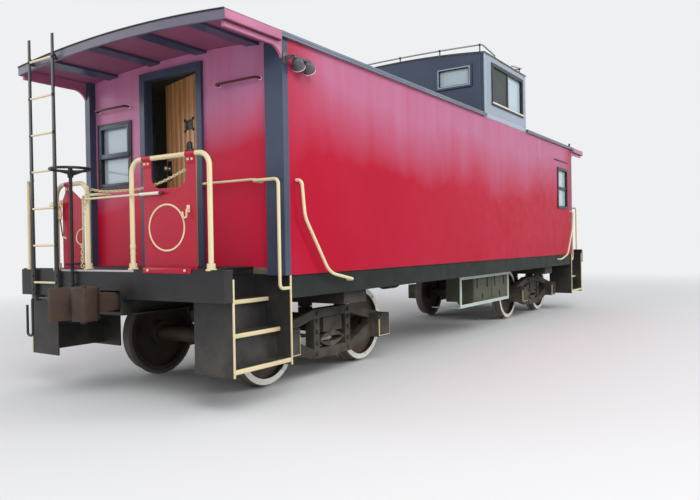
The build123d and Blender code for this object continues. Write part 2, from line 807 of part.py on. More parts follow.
def railing_panels():
    """The sheets that hang from the loops: a notched one, and a narrow one with a neck."""
    left = -wide_loop_outer + panel_margin
    right = -wide_loop_inner - panel_margin
    wide = Rectangle(right - left, wide_loop_height)
    notch = Pos(0, wide_loop_height / 2) * Rectangle(
        right - left - 2 * panel_ear, 2 * panel_notch_depth)
    notch = fillet(notch.vertices().group_by(Axis.Y)[0], panel_notch_corner)
    wide = Pos((left + right) / 2, deck_z + wide_loop_height / 2) * (wide - notch)

    left = narrow_loop_inner + narrow_panel_margin
    right = narrow_loop_outer - narrow_panel_margin
    neck_middle = (left + right) / 2 + panel_neck_offset
    neck_left = neck_middle - panel_neck_width / 2
    neck_right = neck_middle + panel_neck_width / 2
    shoulder = deck_z + panel_shoulder_height
    neck = deck_z + panel_neck_height
    top = deck_z + narrow_loop_height
    narrow = make_face(Polyline(
        (left, deck_z), (right, deck_z), (right, shoulder), (neck_right, neck), (neck_right, top),
        (neck_left, top), (neck_left, neck), (left, shoulder), close=True,
    ))
    sheets = Part()
    for outline in (wide, narrow):
        sheets += Pos(railing_x - panel_thickness / 2, 0, 0) * extrude(
            Plane.YZ * outline, amount=panel_thickness)
    return sheets - railing()


def gate_bar():
    """A bar across the gap between the loops, with the sleeve that latches it."""
    z = deck_z + gate_bar_height
    face = railing_x - tube_radius - gate_bar_radius
    tip = -wide_loop_inner - gate_latch_length
    sleeve_start = tip + gate_tip_length
    bar = rod((face, narrow_loop_inner + tube_radius, z), (face, tip, z), gate_bar_radius)
    sleeve = rod((face, sleeve_start, z), (face, sleeve_start + gate_sleeve_length, z),
                 gate_sleeve_radius)
    return bar + sleeve


def ladder():
    """A ladder from the end sill to above the roof, held to the roof's edge."""
    outer = end_x - ladder_gap
    low = deck_z - end_sill_depth
    top = eave_z + ladder_above_eaves
    bars = Part()
    for y in (ladder_inner, ladder_outer):
        bars += block(outer - ladder_bar_thickness, outer, y - ladder_bar_width / 2,
                      y + ladder_bar_width / 2, low, top)
        bars += block(outer, end_x, y - ladder_bar_width / 2, y + ladder_bar_width / 2,
                      low, deck_z)
        bars += block(outer, roof_end - fascia_thickness, y - ladder_bar_width / 4,
                      y + ladder_bar_width / 4, eave_z - plate, eave_z + plate)
    middle = outer - ladder_bar_thickness / 2
    for index in range(rung_count):
        z = low + first_rung_height + index * rung_step
        bars += rod((middle, ladder_inner, z), (middle, ladder_outer, z), rung_radius)
    return bars


def ladder_grab():
    """An upright handhold on the end sill, bent over to the ladder's outer bar at the top."""
    x = end_x + ladder_grab_inset
    bar_face = end_x - ladder_gap
    bar_edge = ladder_outer + ladder_bar_width / 2
    y = bar_edge + ladder_grab_gap
    top = deck_z + ladder_grab_height
    points = [(x, y, deck_z), (x, y, top),
              (bar_face + ladder_grab_radius / 2, bar_edge - ladder_grab_radius, top)]
    foot = Pos(x, y, deck_z) * Cylinder(2 * ladder_grab_radius, plate,
                                        align=(Align.CENTER, Align.CENTER, Align.MIN))
    foot &= block(end_x, end_inner_x, y - end_sill_width, y + end_sill_width, deck_z, deck_z + plate)
    return bent_rod(points, ladder_grab_radius, ladder_grab_bend) + foot - ladder()


def uncoupling_lever():
    """A rod under the end sill at +Y, with a looped handle that hangs down at the corner."""
    x = end_x - lever_stand
    sill_low = deck_z - end_sill_depth
    z = sill_low - lever_gap - lever_radius
    low = z - lever_handle_length
    free = half_width - lever_inset
    outer = free - lever_handle_width
    points = [(x, lever_inner, z - lever_hook), (x, lever_inner, z), (x, outer, z), (x, outer, low),
              (x, free, low), (x, free, z - lever_handle_return)]
    lever = bent_rod(points, lever_radius, lever_bend)
    for y in (lever_inner + lever_bracket_step, outer - lever_bracket_step):
        lever += block(x - lever_radius - plate, end_x + lever_stand, y - plate, y + plate,
                       z - lever_radius - plate, sill_low)
    return lever


def hand_brake():
    """An upright staff before the railing, with a spoked wheel, two brackets and a stay."""
    x = end_x - ladder_gap - brake_staff_radius
    top = deck_z + brake_wheel_height
    low = deck_z - end_sill_depth
    staff = rod((x, brake_staff_offset, low), (x, brake_staff_offset, top), brake_staff_radius)
    rim = Pos(x, brake_staff_offset, top) * Torus(brake_wheel_radius - brake_wheel_rim, brake_wheel_rim)
    hub = Pos(x, brake_staff_offset, top) * Cylinder(2 * brake_staff_radius, 3 * brake_wheel_rim)
    brake = staff + rim + hub
    for index in range(brake_wheel_spokes):
        angle = radians(90 + 360 * index / brake_wheel_spokes)
        reach = brake_wheel_radius - brake_wheel_rim
        end = (x + reach * cos(angle), brake_staff_offset + reach * sin(angle), top)
        brake += rod((x, brake_staff_offset, top), end, brake_wheel_rim * 0.6)
    for z in (deck_z - end_sill_depth / 2, deck_z - plate):
        brake += block(x, end_x, brake_staff_offset - 2 * brake_staff_radius,
                       brake_staff_offset + 2 * brake_staff_radius, z - plate, z)
    stay_z = top - brake_stay_drop
    post = (post_face, half_width - narrow_post_width / 2, stay_z + brake_stay_rise)
    brake += rod((x, brake_staff_offset, stay_z), post, brake_stay_radius)
    return brake - corner_posts()


def corner_handrails():
    """The rails round end A's corner posts, and those that sweep down the sides beside them."""
    top = deck_z + handrail_top
    low = deck_z - handrail_foot
    out = half_width - handrail_radius
    start = half_width - handrail_start_inset
    rail_x = post_face - handrail_stand
    post_rail = bent_rod([
        (-half_length, start, top), (rail_x, start, top), (rail_x, out, top), (rail_x, out, low),
        (-half_length - stair_end_plate, out, low),
    ], handrail_radius, handrail_bend)

    out = half_width + handrail_stand
    start = -half_length + side_rail_start
    foot = -half_length + side_rail_end
    low = deck_z - side_rail_foot
    side_rail = bent_rod([
        (start, half_width, top), (start, out, top),
        (-half_length + side_rail_knee, out, deck_z + side_rail_knee_height),
        (-half_length + side_rail_turn, out, deck_z - side_rail_turn_depth),
        (foot, out, low), (foot, half_width - sill_inset, low),
    ], handrail_radius, [handrail_bend, side_rail_sweep, side_rail_sweep, handrail_bend])
    return both_sides(post_rail + side_rail)


def end_grabs():
    """Straight handholds on end wall A: one over the window and two beside the door."""
    grabs = Part()
    doorway_edge = door_middle - doorway_width / 2 - door_frame_width
    places = (
        (end_window_middle + grab_length / 2, grab_length, end_grab_height),
        (doorway_edge - grab_from_door, grab_length, end_grab_height),
        (doorway_edge - low_grab_from_door, low_grab_length, low_grab_height),
    )
    for start, length, height in places:
        z = deck_z + height
        points = [(-half_length, start - length, z), (grab_x, start - length, z),
                  (grab_x, start, z), (-half_length, start, z)]
        grabs += bent_rod(points, grab_radius, grab_bend)
    return grabs


def coupler():
    """A knuckle coupler on its draft pin, drawn from above and carried inside the centre sill."""
    face = end_x - coupler_reach
    head_start = face + coupler_head_length
    half_head = coupler_head_width / 2
    shank = block(head_start, end_x + coupler_pivot_inset + coupler_shank_width / 2,
                  -coupler_shank_width / 2, coupler_shank_width / 2,
                  coupler_z - coupler_shank_height / 2, coupler_z + coupler_shank_height / 2)
    jaw = make_face(Polyline(
        (head_start, -coupler_shank_width / 2), (head_start, coupler_shank_width / 2),
        (head_start - coupler_head_length * 0.35, half_head * 0.9),
        (face - coupler_horn, half_head), (face - coupler_horn, half_head * 0.72),
        (face + coupler_head_length * 0.35, half_head * 0.45),
        (face + coupler_head_length * 0.42, -half_head * 0.1),
        (face + coupler_head_length * 0.2, -half_head * 0.2),
        (face + coupler_head_length * 0.02, -half_head * 0.12),
        (face, -half_head * 0.42), (face + coupler_head_length * 0.12, -half_head),
        (face + coupler_head_length * 0.6, -half_head), close=True,
    ))
    head = Pos(0, 0, coupler_z - coupler_head_height / 2) * extrude(jaw, amount=coupler_head_height)
    pin = Pos(face + coupler_head_length * 0.25, -half_head * 0.62, coupler_z) * Cylinder(
        knuckle_pin_radius, coupler_head_height + 2 * knuckle_pin_head)
    return shank + head + pin


# Things under the floor

def tool_box():
    low = tool_box_top - tool_box_height
    return block(tool_box_start, tool_box_start + tool_box_length, -box_face + tool_box_depth,
                 -box_face, low, tool_box_top)


def box_cradle():
    """A frame of bars before the tool box, hung from the floor beams by straps."""
    low = tool_box_top - tool_box_height - cradle_bar
    end = tool_box_start + tool_box_length + cradle_bar
    face = -box_face - plate
    cradle = block(cradle_start, end, face, -box_face, low, tool_box_top + cradle_bar)
    cradle -= block(cradle_start + cradle_bar, end - cradle_bar,
                    face - cut_margin, -box_face + cut_margin,
                    low + cradle_bar, tool_box_top)
    for x in (cradle_start, end - cradle_bar):
        cradle += block(x, x + cradle_bar, face, -box_face, tool_box_top, sill_z + plate)
        cradle += block(x, x + cradle_bar, face, -sill_inner, sill_z, sill_z + plate)
        cradle += block(x, x + cradle_bar, face, -box_face + tool_box_depth, low, low + plate)
    return cradle


def tank(middle, offset, radius, length, z):
    body = Pos(middle, offset, z) * Rot(0, 90, 0) * Cylinder(radius, length)
    body = fillet(body.edges().filter_by(GeomType.CIRCLE), radius * 0.3)
    for share in (-0.3, 0.3):
        x = middle + share * length
        body += block(x - plate * 2, x + plate * 2, offset - radius - plate, offset + radius + plate,
                      z, floor_z)
    return body


def reservoir():
    return tank(reservoir_middle, reservoir_offset, reservoir_radius, reservoir_length,
                tank_top - reservoir_radius)


def brake_cylinder():
    return tank(brake_cylinder_middle, brake_cylinder_offset, brake_cylinder_radius,
                brake_cylinder_length, tank_top - brake_cylinder_radius)


def corner_lamp():
    """Two lamps side by side on a bracket, on the side wall at -Y near end A."""
    z = deck_z + lamp_height
    x = -half_length + lamp_inset
    lamp = block(x - lamp_spacing / 2, x + lamp_spacing / 2, -half_width - lamp_stand - plate,
                 -half_width - lamp_stand, z - 2 * plate, z + 2 * plate)
    lamp += block(x - 2 * plate, x + 2 * plate, -half_width - lamp_stand, -half_width,
                  z - 2 * plate, z + 2 * plate)
    for sign in (-1, 1):
        head = Pos(x + sign * lamp_spacing / 2, -half_width - lamp_stand, z)
        lamp += head * Rot(0, 0, lamp_turn) * Rot(lamp_tilt, 0, 0) * Cone(
            lamp_radius * 0.6, lamp_radius, lamp_length)
    return lamp


at_a = Pos(-truck_x, 0, 0)
at_b = Pos(truck_x, 0, 0)
for name, place in (("truck_a", at_a), ("truck_b", at_b)):
    save(name + "_side_frames", place * both_sides(side_frame()))
    save(name + "_bolster", place * truck_bolster())
    save(name + "_springs", place * both_sides(leaf_spring()))
    save(name + "_brake_beams", place * brake_beams())
axle_places = (-truck_x - wheelbase / 2, -truck_x + wheelbase / 2,
               truck_x - wheelbase / 2, truck_x + wheelbase / 2)
for number, x in enumerate(axle_places, start=1):
    save(f"wheelset_{number}", Pos(x, 0, 0) * wheelset())

save("centre_sill", centre_sill())
save("body_bolsters", body_bolsters())
save("crossbearers", crossbearers())
save("floor", floor())
save("side_sills", side_sill() + turned(side_sill()))
save("side_wall_right", side_wall())
save("side_wall_left", turned(side_wall()))
save("corner_posts", corner_posts() + turned(corner_posts()))
save("roof_long", arched(top_half_width, eave_z, roof_rise, roof_thickness, inner_half_width,
                         roof_end, cupola_start - roof_end))
save("roof_short", arched(top_half_width, eave_z, roof_rise, roof_thickness, inner_half_width,
                          cupola_end, -roof_end - cupola_end))
save("cupola_sides", both_sides(cupola_side()))
save("cupola_ends", cupola_end_wall(cupola_start) + cupola_end_wall(cupola_end - wall))
save("cupola_roof", cupola_roof())
save("cupola_rails", cupola_rails())

frames = Part()
panes = Part()
for width, height, across, upright, places in window_places().values():
    for place in places:
        frames += place * window_frame(width, height, across, upright)
        panes += place * window_pane(width, height)
save("window_frames", frames)
save("window_glass", panes)

save("door_frames", door_frame() + turned(door_frame()))
save("door_a", door_leaf(door_ajar))
save("door_b", turned(door_leaf(0)))
save("end_walls", end_wall() + turned(end_wall()))
save("canopy_arches", canopy_arch() + turned(canopy_arch()))
save("canopy_sides", canopy_side() + turned(canopy_side()))
save("carlines", carlines() + turned(carlines()))
save("platforms", platform() + turned(platform()))
save("stairs", stairs() + turned(stairs()))
save("railings", railing() + turned(railing()))
save("railing_panels", railing_panels() + turned(railing_panels()))
save("gate_bars", gate_bar() + turned(gate_bar()))
save("ladders", ladder() + turned(ladder()))
save("ladder_grabs", ladder_grab() + turned(ladder_grab()))
save("uncoupling_levers", uncoupling_lever() + turned(uncoupling_lever()))
save("hand_brakes", hand_brake() + turned(hand_brake()))
save("corner_handrails", corner_handrails() + turned(corner_handrails()))
save("end_grabs", end_grabs() + turned(end_grabs()))
save("coupler_a", coupler())
save("coupler_b", turned(coupler()))
save("tool_box", tool_box())
save("box_cradle", box_cradle())
save("brake_tanks", reservoir() + brake_cylinder())
save("corner_lamps", corner_lamp() + turned(corner_lamp()))
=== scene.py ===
# %% [markdown]
# # Dressing a railway caboose
# The car arrives here as exact solids: body, trucks, wheels, stairs, railings. This lesson gives
# each of them its finish, and models by hand what solids leave plain: boarded doors, riveted
# ladders, chains, lamps, springs and bolts. The solids are never moved, so every new piece is
# placed by the sizes that are read from them.
# %% Load the solids
import json
import math

import bmesh
import bpy
from mathutils import Matrix, Vector


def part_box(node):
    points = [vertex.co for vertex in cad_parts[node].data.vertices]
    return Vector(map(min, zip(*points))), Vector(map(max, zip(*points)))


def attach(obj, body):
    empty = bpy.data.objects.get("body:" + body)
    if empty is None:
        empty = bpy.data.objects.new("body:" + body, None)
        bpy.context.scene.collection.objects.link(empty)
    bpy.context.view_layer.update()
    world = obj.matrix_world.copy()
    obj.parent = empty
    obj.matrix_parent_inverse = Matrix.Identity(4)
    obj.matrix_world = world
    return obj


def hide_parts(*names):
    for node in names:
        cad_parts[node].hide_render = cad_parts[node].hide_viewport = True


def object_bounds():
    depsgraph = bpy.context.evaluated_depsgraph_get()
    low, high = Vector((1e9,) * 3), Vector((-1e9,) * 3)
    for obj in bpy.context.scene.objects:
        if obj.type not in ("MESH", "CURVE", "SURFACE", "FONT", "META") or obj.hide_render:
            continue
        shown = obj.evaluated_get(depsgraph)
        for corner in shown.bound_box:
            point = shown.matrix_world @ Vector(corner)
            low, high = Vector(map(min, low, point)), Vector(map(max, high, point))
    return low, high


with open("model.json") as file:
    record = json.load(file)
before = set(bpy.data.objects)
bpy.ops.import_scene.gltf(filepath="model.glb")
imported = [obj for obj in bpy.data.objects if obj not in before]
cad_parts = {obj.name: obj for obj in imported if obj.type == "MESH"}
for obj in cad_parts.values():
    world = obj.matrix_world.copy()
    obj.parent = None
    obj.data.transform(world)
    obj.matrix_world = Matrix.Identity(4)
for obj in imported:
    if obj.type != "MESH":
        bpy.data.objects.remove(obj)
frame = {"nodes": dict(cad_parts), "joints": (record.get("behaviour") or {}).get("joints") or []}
nodes = frame["nodes"]
cad_low, cad_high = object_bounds()
print("the car measures", [round(v, 3) for v in cad_high - cad_low], "m")

# %% [markdown]
# A picture's camera has a place, a heading, a tilt and a lens. All four can be worked out from
# straight edges of the real car, and then the render can be laid over the picture. Heading is
# turned from the car's long axis, tilt is above the horizon, and lean is about the line of sight.
# %% Camera
picture_width = 700
lens_in_pixels = 664.7
sensor = 36
heading, tilt, lean = 0.58793, -0.00854, -0.01677
camera_place = (-8.969, -5.045, 1.370)

ahead = Vector((math.cos(heading) * math.cos(tilt), math.sin(heading) * math.cos(tilt), math.sin(tilt)))
level_right = Vector((math.sin(heading), -math.cos(heading), 0))
level_up = level_right.cross(ahead)
right = level_right * math.cos(lean) + level_up * math.sin(lean)
up = level_up * math.cos(lean) - level_right * math.sin(lean)

camera_data = bpy.data.cameras.new("camera")
camera_data.sensor_width = sensor
camera_data.lens = lens_in_pixels * sensor / picture_width
camera = bpy.data.objects.new("camera", camera_data)
bpy.context.scene.collection.objects.link(camera)
looking = Matrix((right, up, -ahead)).transposed().to_4x4()
camera.matrix_world = Matrix.Translation(camera_place) @ looking
bpy.context.scene.camera = camera
print("lens", round(camera_data.lens, 2), "mm")

# %% [markdown]
# Soft light comes from large lamps and a bright surround. A pale floor is one big plane. The
# surround that the camera sees is a clean pale tone, and gloss and glass see that same tone, while
# what it sends onto the car is kept lower, so that no colour washes out.
# %% Floor, surround and lamps
view_settings = bpy.context.scene.view_settings
view_settings.view_transform = "Standard"

bpy.ops.object.select_all(action="DESELECT")
bpy.ops.mesh.primitive_plane_add(size=400, location=(0, 0, cad_low.z))
floor = bpy.context.object
floor.name = "studio_floor"


def fill(tree, node, inputs):
    """Gives a node's inputs their values, or links them to other nodes' outputs."""
    for key, value in inputs.items():
        if isinstance(value, bpy.types.NodeSocket):
            tree.links.new(value, node.inputs[key])
        else:
            node.inputs[key].default_value = value


def put(tree, kind, inputs=None, **fields):
    """Adds a node, sets its fields and fills its inputs."""
    made = tree.nodes.new(kind)
    for field, value in fields.items():
        setattr(made, field, value)
    fill(tree, made, inputs or {})
    return made


def new_finish(name):
    finish = bpy.data.materials.new(name)
    finish.use_nodes = True
    tree = finish.node_tree
    return finish, tree, tree.nodes["Principled BSDF"]


surround = bpy.data.worlds.new("surround")
bpy.context.scene.world = surround
surround.use_nodes = True
tree = surround.node_tree
tree.nodes.clear()
rays = put(tree, "ShaderNodeLightPath")
camera_or_gloss = put(tree, "ShaderNodeMath", {0: rays.outputs["Is Camera Ray"],
                                               1: rays.outputs["Is Glossy Ray"]}, operation="MAXIMUM")
seen = put(tree, "ShaderNodeMath", {0: camera_or_gloss.outputs[0], 1: rays.outputs["Is Transmission Ray"]},
           operation="MAXIMUM")
lighting = put(tree, "ShaderNodeBackground", {"Color": (0.93, 0.96, 1.0, 1), "Strength": 0.62})
backdrop = put(tree, "ShaderNodeBackground", {"Color": (0.86, 0.87, 0.88, 1), "Strength": 1.0})
either = put(tree, "ShaderNodeMixShader", {0: seen.outputs[0], 1: lighting.outputs[0],
                                           2: backdrop.outputs[0]})
put(tree, "ShaderNodeOutputWorld", {"Surface": either.outputs[0]})

finish, tree, shader = new_finish("pale_floor")
fill(tree, shader, {"Base Color": (0.80, 0.80, 0.80, 1), "Roughness": 0.9, "Specular IOR Level": 0.1})
spot = put(tree, "ShaderNodeTexCoord").outputs["Object"]
spread = put(tree, "ShaderNodeVectorMath", {0: spot, 1: (0.75, 1, 1)}, operation="MULTIPLY").outputs[0]
distance = put(tree, "ShaderNodeVectorMath", {0: spread}, operation="LENGTH").outputs["Value"]
far = put(tree, "ShaderNodeMapRange", {"Value": distance, "From Min": 4.5, "From Max": 16.0},
          interpolation_type="SMOOTHSTEP").outputs["Result"]
glow = put(tree, "ShaderNodeEmission", {"Color": (0.86, 0.87, 0.88, 1), "Strength": 1.0})
to_camera = put(tree, "ShaderNodeLightPath").outputs["Is Camera Ray"]
share = put(tree, "ShaderNodeMath", {0: far, 1: to_camera}, operation="MULTIPLY").outputs[0]
blend = put(tree, "ShaderNodeMixShader", {0: share, 1: shader.outputs[0], 2: glow.outputs[0]})
tree.links.new(blend.outputs[0], tree.nodes["Material Output"].inputs["Surface"])
floor.data.materials.append(finish)

lamps = (  # name, place, aimed at, width, watts
    ("key", (-11, -9, 9), (-2, 0, 1.8), 7, 900),
    ("side", (4, -14, 8), (1, 0, 2), 9, 900),
    ("fill", (-9, 10, 6), (-3, 0, 2), 8, 350),
)
for name, place, target, width, watts in lamps:
    lamp_data = bpy.data.lights.new(name, "AREA")
    lamp_data.shape, lamp_data.size, lamp_data.energy = "SQUARE", width, watts
    lamp = bpy.data.objects.new(name, lamp_data)
    bpy.context.scene.collection.objects.link(lamp)
    lamp.location = place
    lamp.rotation_euler = (Vector(target) - Vector(place)).to_track_quat("-Z", "Y").to_euler()
print(len(lamps), "lamps")

# %% [markdown]
# Old enamel is never one colour. It fades in broad patches, wears through at the edges and gathers
# dust low down. A photograph could be wrapped round the car, but it would stretch and repeat, so
# each of these is drawn by noise that reads the object's own coordinates. An edge is found by
# asking how far a rounded normal turns from the true one.
# %% Building blocks for finishes
def mixed(tree, share, first, second):
    """The second colour over the first, by a share from 0 to 1."""
    made = put(tree, "ShaderNodeMix", data_type="RGBA")
    fill(tree, made, {0: share, 6: first, 7: second})
    return made.outputs[2]


def span(tree, value, low, high, out_low=0.0, out_high=1.0):
    """Stretches what lies from low to high over a new range, and holds it there beyond."""
    inputs = {"Value": value, "From Min": low, "From Max": high, "To Min": out_low, "To Max": out_high}
    return put(tree, "ShaderNodeMapRange", inputs).outputs["Result"]


def maths(tree, operation, first, second=0.0):
    return put(tree, "ShaderNodeMath", {0: first, 1: second}, operation=operation).outputs[0]


def times(tree, first, second):
    return maths(tree, "MULTIPLY", first, second)


def below(tree, first, second):
    return maths(tree, "LESS_THAN", first, second)


def size_of(tree, value):
    return maths(tree, "ABSOLUTE", value)


def place_on(tree, centre=(0, 0, 0), stretch=(1, 1, 1)):
    """Object coordinates, moved so that the centre is the origin, and stretched."""
    where = put(tree, "ShaderNodeTexCoord").outputs["Object"]
    moved = put(tree, "ShaderNodeVectorMath", {0: where, 1: centre}, operation="SUBTRACT").outputs[0]
    return put(tree, "ShaderNodeVectorMath", {0: moved, 1: stretch}, operation="MULTIPLY").outputs[0]


def noise(tree, where, scale, detail=4.0, roughness=0.55):
    inputs = {"Vector": where, "Scale": scale, "Detail": detail, "Roughness": roughness}
    return put(tree, "ShaderNodeTexNoise", inputs).outputs["Fac"]


def parts_of(tree, where):
    return put(tree, "ShaderNodeSeparateXYZ", {0: where}).outputs


def rounded(tree, width):
    """The normal that the surface would have with its edges rounded over a width."""
    return put(tree, "ShaderNodeBevel", {"Radius": width}, samples=6).outputs["Normal"]


def bumped(tree, height, distance, strength, over=None):
    """A normal that follows small heights, over the surface's own normal or another one."""
    inputs = {"Height": height, "Distance": distance, "Strength": strength}
    if over:
        inputs["Normal"] = over
    return put(tree, "ShaderNodeBump", inputs).outputs[0]


def edges(tree, soft_normal):
    true_normal = put(tree, "ShaderNodeNewGeometry").outputs["Normal"]
    turn = put(tree, "ShaderNodeVectorMath", {0: soft_normal, 1: true_normal}, operation="DOT_PRODUCT")
    return span(tree, turn.outputs["Value"], 0.985, 0.8)


# %% [markdown]
# Most of the car is painted steel, so one recipe makes all of its paints: a colour, what it fades
# to, how glossy it is, what shows where it is worn, and how dusty it gets near the ground. The
# gloss is a clear coat over a duller base, as on real enamel, and a long slow ripple in the
# surface breaks its reflections, as thin sheet does.
# %% Painted steel
DUST = (0.23, 0.19, 0.15, 1)


def painted(name, colour, faded, gloss, coat=0.0, worn=(0.10, 0.07, 0.05, 1), wear=0.35, ripple=0.0,
            dust=0.25, dust_top=1.2, edge=0.004, sheen=0.25, over=None):
    finish, tree, shader = new_finish(name)
    where = place_on(tree)
    patches = span(tree, noise(tree, where, 0.9, 5.0, 0.6), 0.38, 0.72)
    fine = span(tree, noise(tree, where, 14.0, 3.0), 0.3, 0.75)
    base = mixed(tree, times(tree, patches, 0.6), colour, faded)
    base = mixed(tree, times(tree, fine, 0.10), base, faded)
    if over:
        base = over(tree, base)
    soft = rounded(tree, edge)
    rub = span(tree, noise(tree, where, 11.0, 6.0, 0.7), 0.42, 0.66)
    rub = times(tree, times(tree, edges(tree, soft), rub), wear)
    base = mixed(tree, rub, base, worn)
    height = parts_of(tree, where)[2]
    low = span(tree, height, dust_top, 0.1)
    low = times(tree, low, span(tree, noise(tree, where, 3.5, 6.0, 0.65), 0.3, 0.7))
    base = mixed(tree, times(tree, low, dust), base, DUST)
    rough = span(tree, noise(tree, where, 5.0, 4.0), 0.3, 0.7, gloss - 0.05, gloss + 0.09)
    rough = maths(tree, "ADD", rough, times(tree, low, 0.25))
    waves = noise(tree, place_on(tree, stretch=(0.8, 0.8, 1.3)), 1.5, 2.0, 0.4)
    peel = noise(tree, where, 160.0, 2.0)
    normal = bumped(tree, peel, 0.0004, 0.6, over=bumped(tree, waves, ripple, 1.0, over=soft))
    fill(tree, shader, {"Base Color": base, "Roughness": rough, "Specular IOR Level": sheen,
                        "Coat Weight": coat, "Coat Roughness": 0.12, "Normal": normal})
    return finish


def lining(axis, centre, limit, colour):
    """Another colour on what faces the cabin: what lies nearer to a centre line than a limit."""
    def over(tree, base):
        along = parts_of(tree, place_on(tree))[axis]
        away = size_of(tree, maths(tree, "SUBTRACT", along, centre))
        return mixed(tree, below(tree, away, limit), base, colour)
    return over


def faded_and_sky_sheen(colour, low, high, drift, lean=0.0, kept_from=None):
    """Another colour that comes in with height, in broad drifts and soft upright streaks.

    It starts lower towards one side by a lean, and spares the ends of the car beyond a distance. The
    colour is partly fading and partly a painted sheen, the reflection of a bright sky in the gloss.
    """
    def over(tree, base):
        x, y, height = parts_of(tree, place_on(tree))[:3]
        height = maths(tree, "ADD", height, times(tree, y, lean))
        drifts = maths(tree, "SUBTRACT", noise(tree, place_on(tree, stretch=(0.8, 0.8, 0.4)), 1.1, 3.0),
                       0.5)
        lifted = maths(tree, "ADD", height, times(tree, drifts, drift))
        streaks = noise(tree, place_on(tree, stretch=(1, 1, 0.06)), 6.0, 4.0)
        share = times(tree, span(tree, lifted, low, high), span(tree, streaks, 0.3, 0.7, 0.78, 1.0))
        if kept_from:
            spared = span(tree, size_of(tree, x), kept_from, kept_from - 0.5, 0.25, 1.0)
            share = times(tree, share, spared)
        return mixed(tree, share, base, colour)
    return over


def doorway(middle, reach, top, colour):
    """Another colour on the doorway's inside; the doorways lie on opposite sides of the middle line."""
    def over(tree, base):
        x, y, height = parts_of(tree, place_on(tree))[:3]
        along = times(tree, y, maths(tree, "SIGN", x))
        away = size_of(tree, maths(tree, "ADD", along, middle))
        inside = times(tree, below(tree, away, reach), below(tree, height, top))
        return mixed(tree, inside, base, colour)
    return over


def one_after(*steps):
    def over(tree, base):
        for step in steps:
            base = step(tree, base)
        return base
    return over


wall_box, end_box, cupola_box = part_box("side_wall_right"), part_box("end_walls"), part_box("cupola_sides")
half_width, half_length = -wall_box[0].y, -end_box[0].x
cupola_middle = (cupola_box[0].x + cupola_box[1].x) / 2
cupola_half = (cupola_box[1].x - cupola_box[0].x) / 2
skin = 0.03
CRIMSON, PINKED = (0.42, 0.004, 0.026, 1), (0.46, 0.014, 0.046, 1)
SLATE, SLATE_FADED = (0.038, 0.052, 0.092, 1), (0.072, 0.092, 0.145, 1)
PLUM = (0.26, 0.075, 0.15, 1)
MAUVE, SKY_LIT_SLATE = (0.46, 0.160, 0.275, 1), (0.290, 0.335, 0.420, 1)
CABIN_PAINT = (0.34, 0.36, 0.27, 1)
# The end walls' crimson and mauve are lighter than the sides': painted light against the canopy's shade.
LIGHTENED_END_CRIMSON, LIGHTENED_END_MAUVE = (0.58, 0.008, 0.044, 1), (0.60, 0.235, 0.420, 1)
DOOR_MIDDLE, DOOR_REACH, DOOR_TOP = 0.095, 0.395, 3.096

# High on the walls the mauve is partly fading and partly a painted sheen: the sky's reflection in the
# gloss.
crimson_sides = painted("crimson_side_enamel", CRIMSON, PINKED, 0.36, coat=0.03, ripple=0.006, wear=0.0,
                        sheen=0.06, over=one_after(faded_and_sky_sheen(MAUVE, 2.10, 2.85, 0.9, kept_from=4.35),
                                                   lining(1, 0, half_width - skin, CABIN_PAINT)))
crimson_ends = painted("crimson_end_enamel", LIGHTENED_END_CRIMSON, PINKED, 0.36, coat=0.05, ripple=0.004, wear=0.0,
                       sheen=0.15, over=one_after(faded_and_sky_sheen(LIGHTENED_END_MAUVE, 2.05, 2.55, 0.5, lean=0.25),
                                                  doorway(DOOR_MIDDLE, DOOR_REACH, DOOR_TOP, SLATE),
                                                  lining(0, 0, half_length - 0.069, CABIN_PAINT)))
crimson = painted("crimson_enamel", CRIMSON, PINKED, 0.36, coat=0.10, ripple=0.002)
slate = painted("slate_enamel", SLATE, SLATE_FADED, 0.38, coat=0.2, ripple=0.002)
mauve = painted("mauve_enamel", MAUVE, (0.42, 0.09, 0.20, 1), 0.36, coat=0.10, wear=0.6)
arch_grey = painted("mauve_grey_enamel", (0.150, 0.130, 0.180, 1), (0.105, 0.105, 0.150, 1), 0.4, coat=0.1,
                    wear=0.6)
trim_slate = painted("trim_slate_enamel", (0.125, 0.155, 0.200, 1), (0.215, 0.255, 0.320, 1), 0.42,
                     coat=0.1, wear=0.5)
cupola_linings = one_after(lining(1, 0, half_width - 0.012, SLATE),
                           lining(1, 0, half_width - 0.069, CABIN_PAINT))
# The cupola's sides are a lighter copy of the slate on its ends: painted light from the sky they face.
sky_lit_cupola_sides = painted("sky_lit_slate_cupola_side_enamel", SKY_LIT_SLATE, (0.250, 0.310, 0.360, 1), 0.36,
                             coat=0.25, ripple=0.003, over=cupola_linings)
slate_cupola_ends = painted("slate_cupola_end_enamel", SLATE, SLATE_FADED, 0.36, coat=0.25, ripple=0.003,
                            over=lining(0, cupola_middle, cupola_half - skin, CABIN_PAINT))
black = painted("black_enamel", (0.012, 0.013, 0.015, 1), (0.03, 0.03, 0.032, 1), 0.38, coat=0.1, dust=0.35)
sill_green = painted("dark_green_enamel", (0.008, 0.014, 0.012, 1), (0.020, 0.028, 0.025, 1), 0.5, dust=0.2,
                     sheen=0.15)
underframe = painted("underframe_black", (0.010, 0.010, 0.010, 1), (0.035, 0.028, 0.022, 1), 0.62,
                     worn=(0.11, 0.045, 0.02, 1), wear=0.7, dust=0.55, dust_top=1.3)
cream = painted("cream_enamel", (0.78, 0.68, 0.42, 1), (0.62, 0.50, 0.28, 1), 0.36, coat=0.2,
                worn=(0.25, 0.13, 0.06, 1), wear=0.5)
pale_cradle = painted("pale_green_enamel", (0.52, 0.62, 0.58, 1), (0.42, 0.50, 0.46, 1), 0.45, wear=0.6)
olive = painted("olive_enamel", (0.050, 0.060, 0.036, 1), (0.085, 0.090, 0.060, 1), 0.5, dust=0.35)
print(len(bpy.data.materials), "finishes so far")

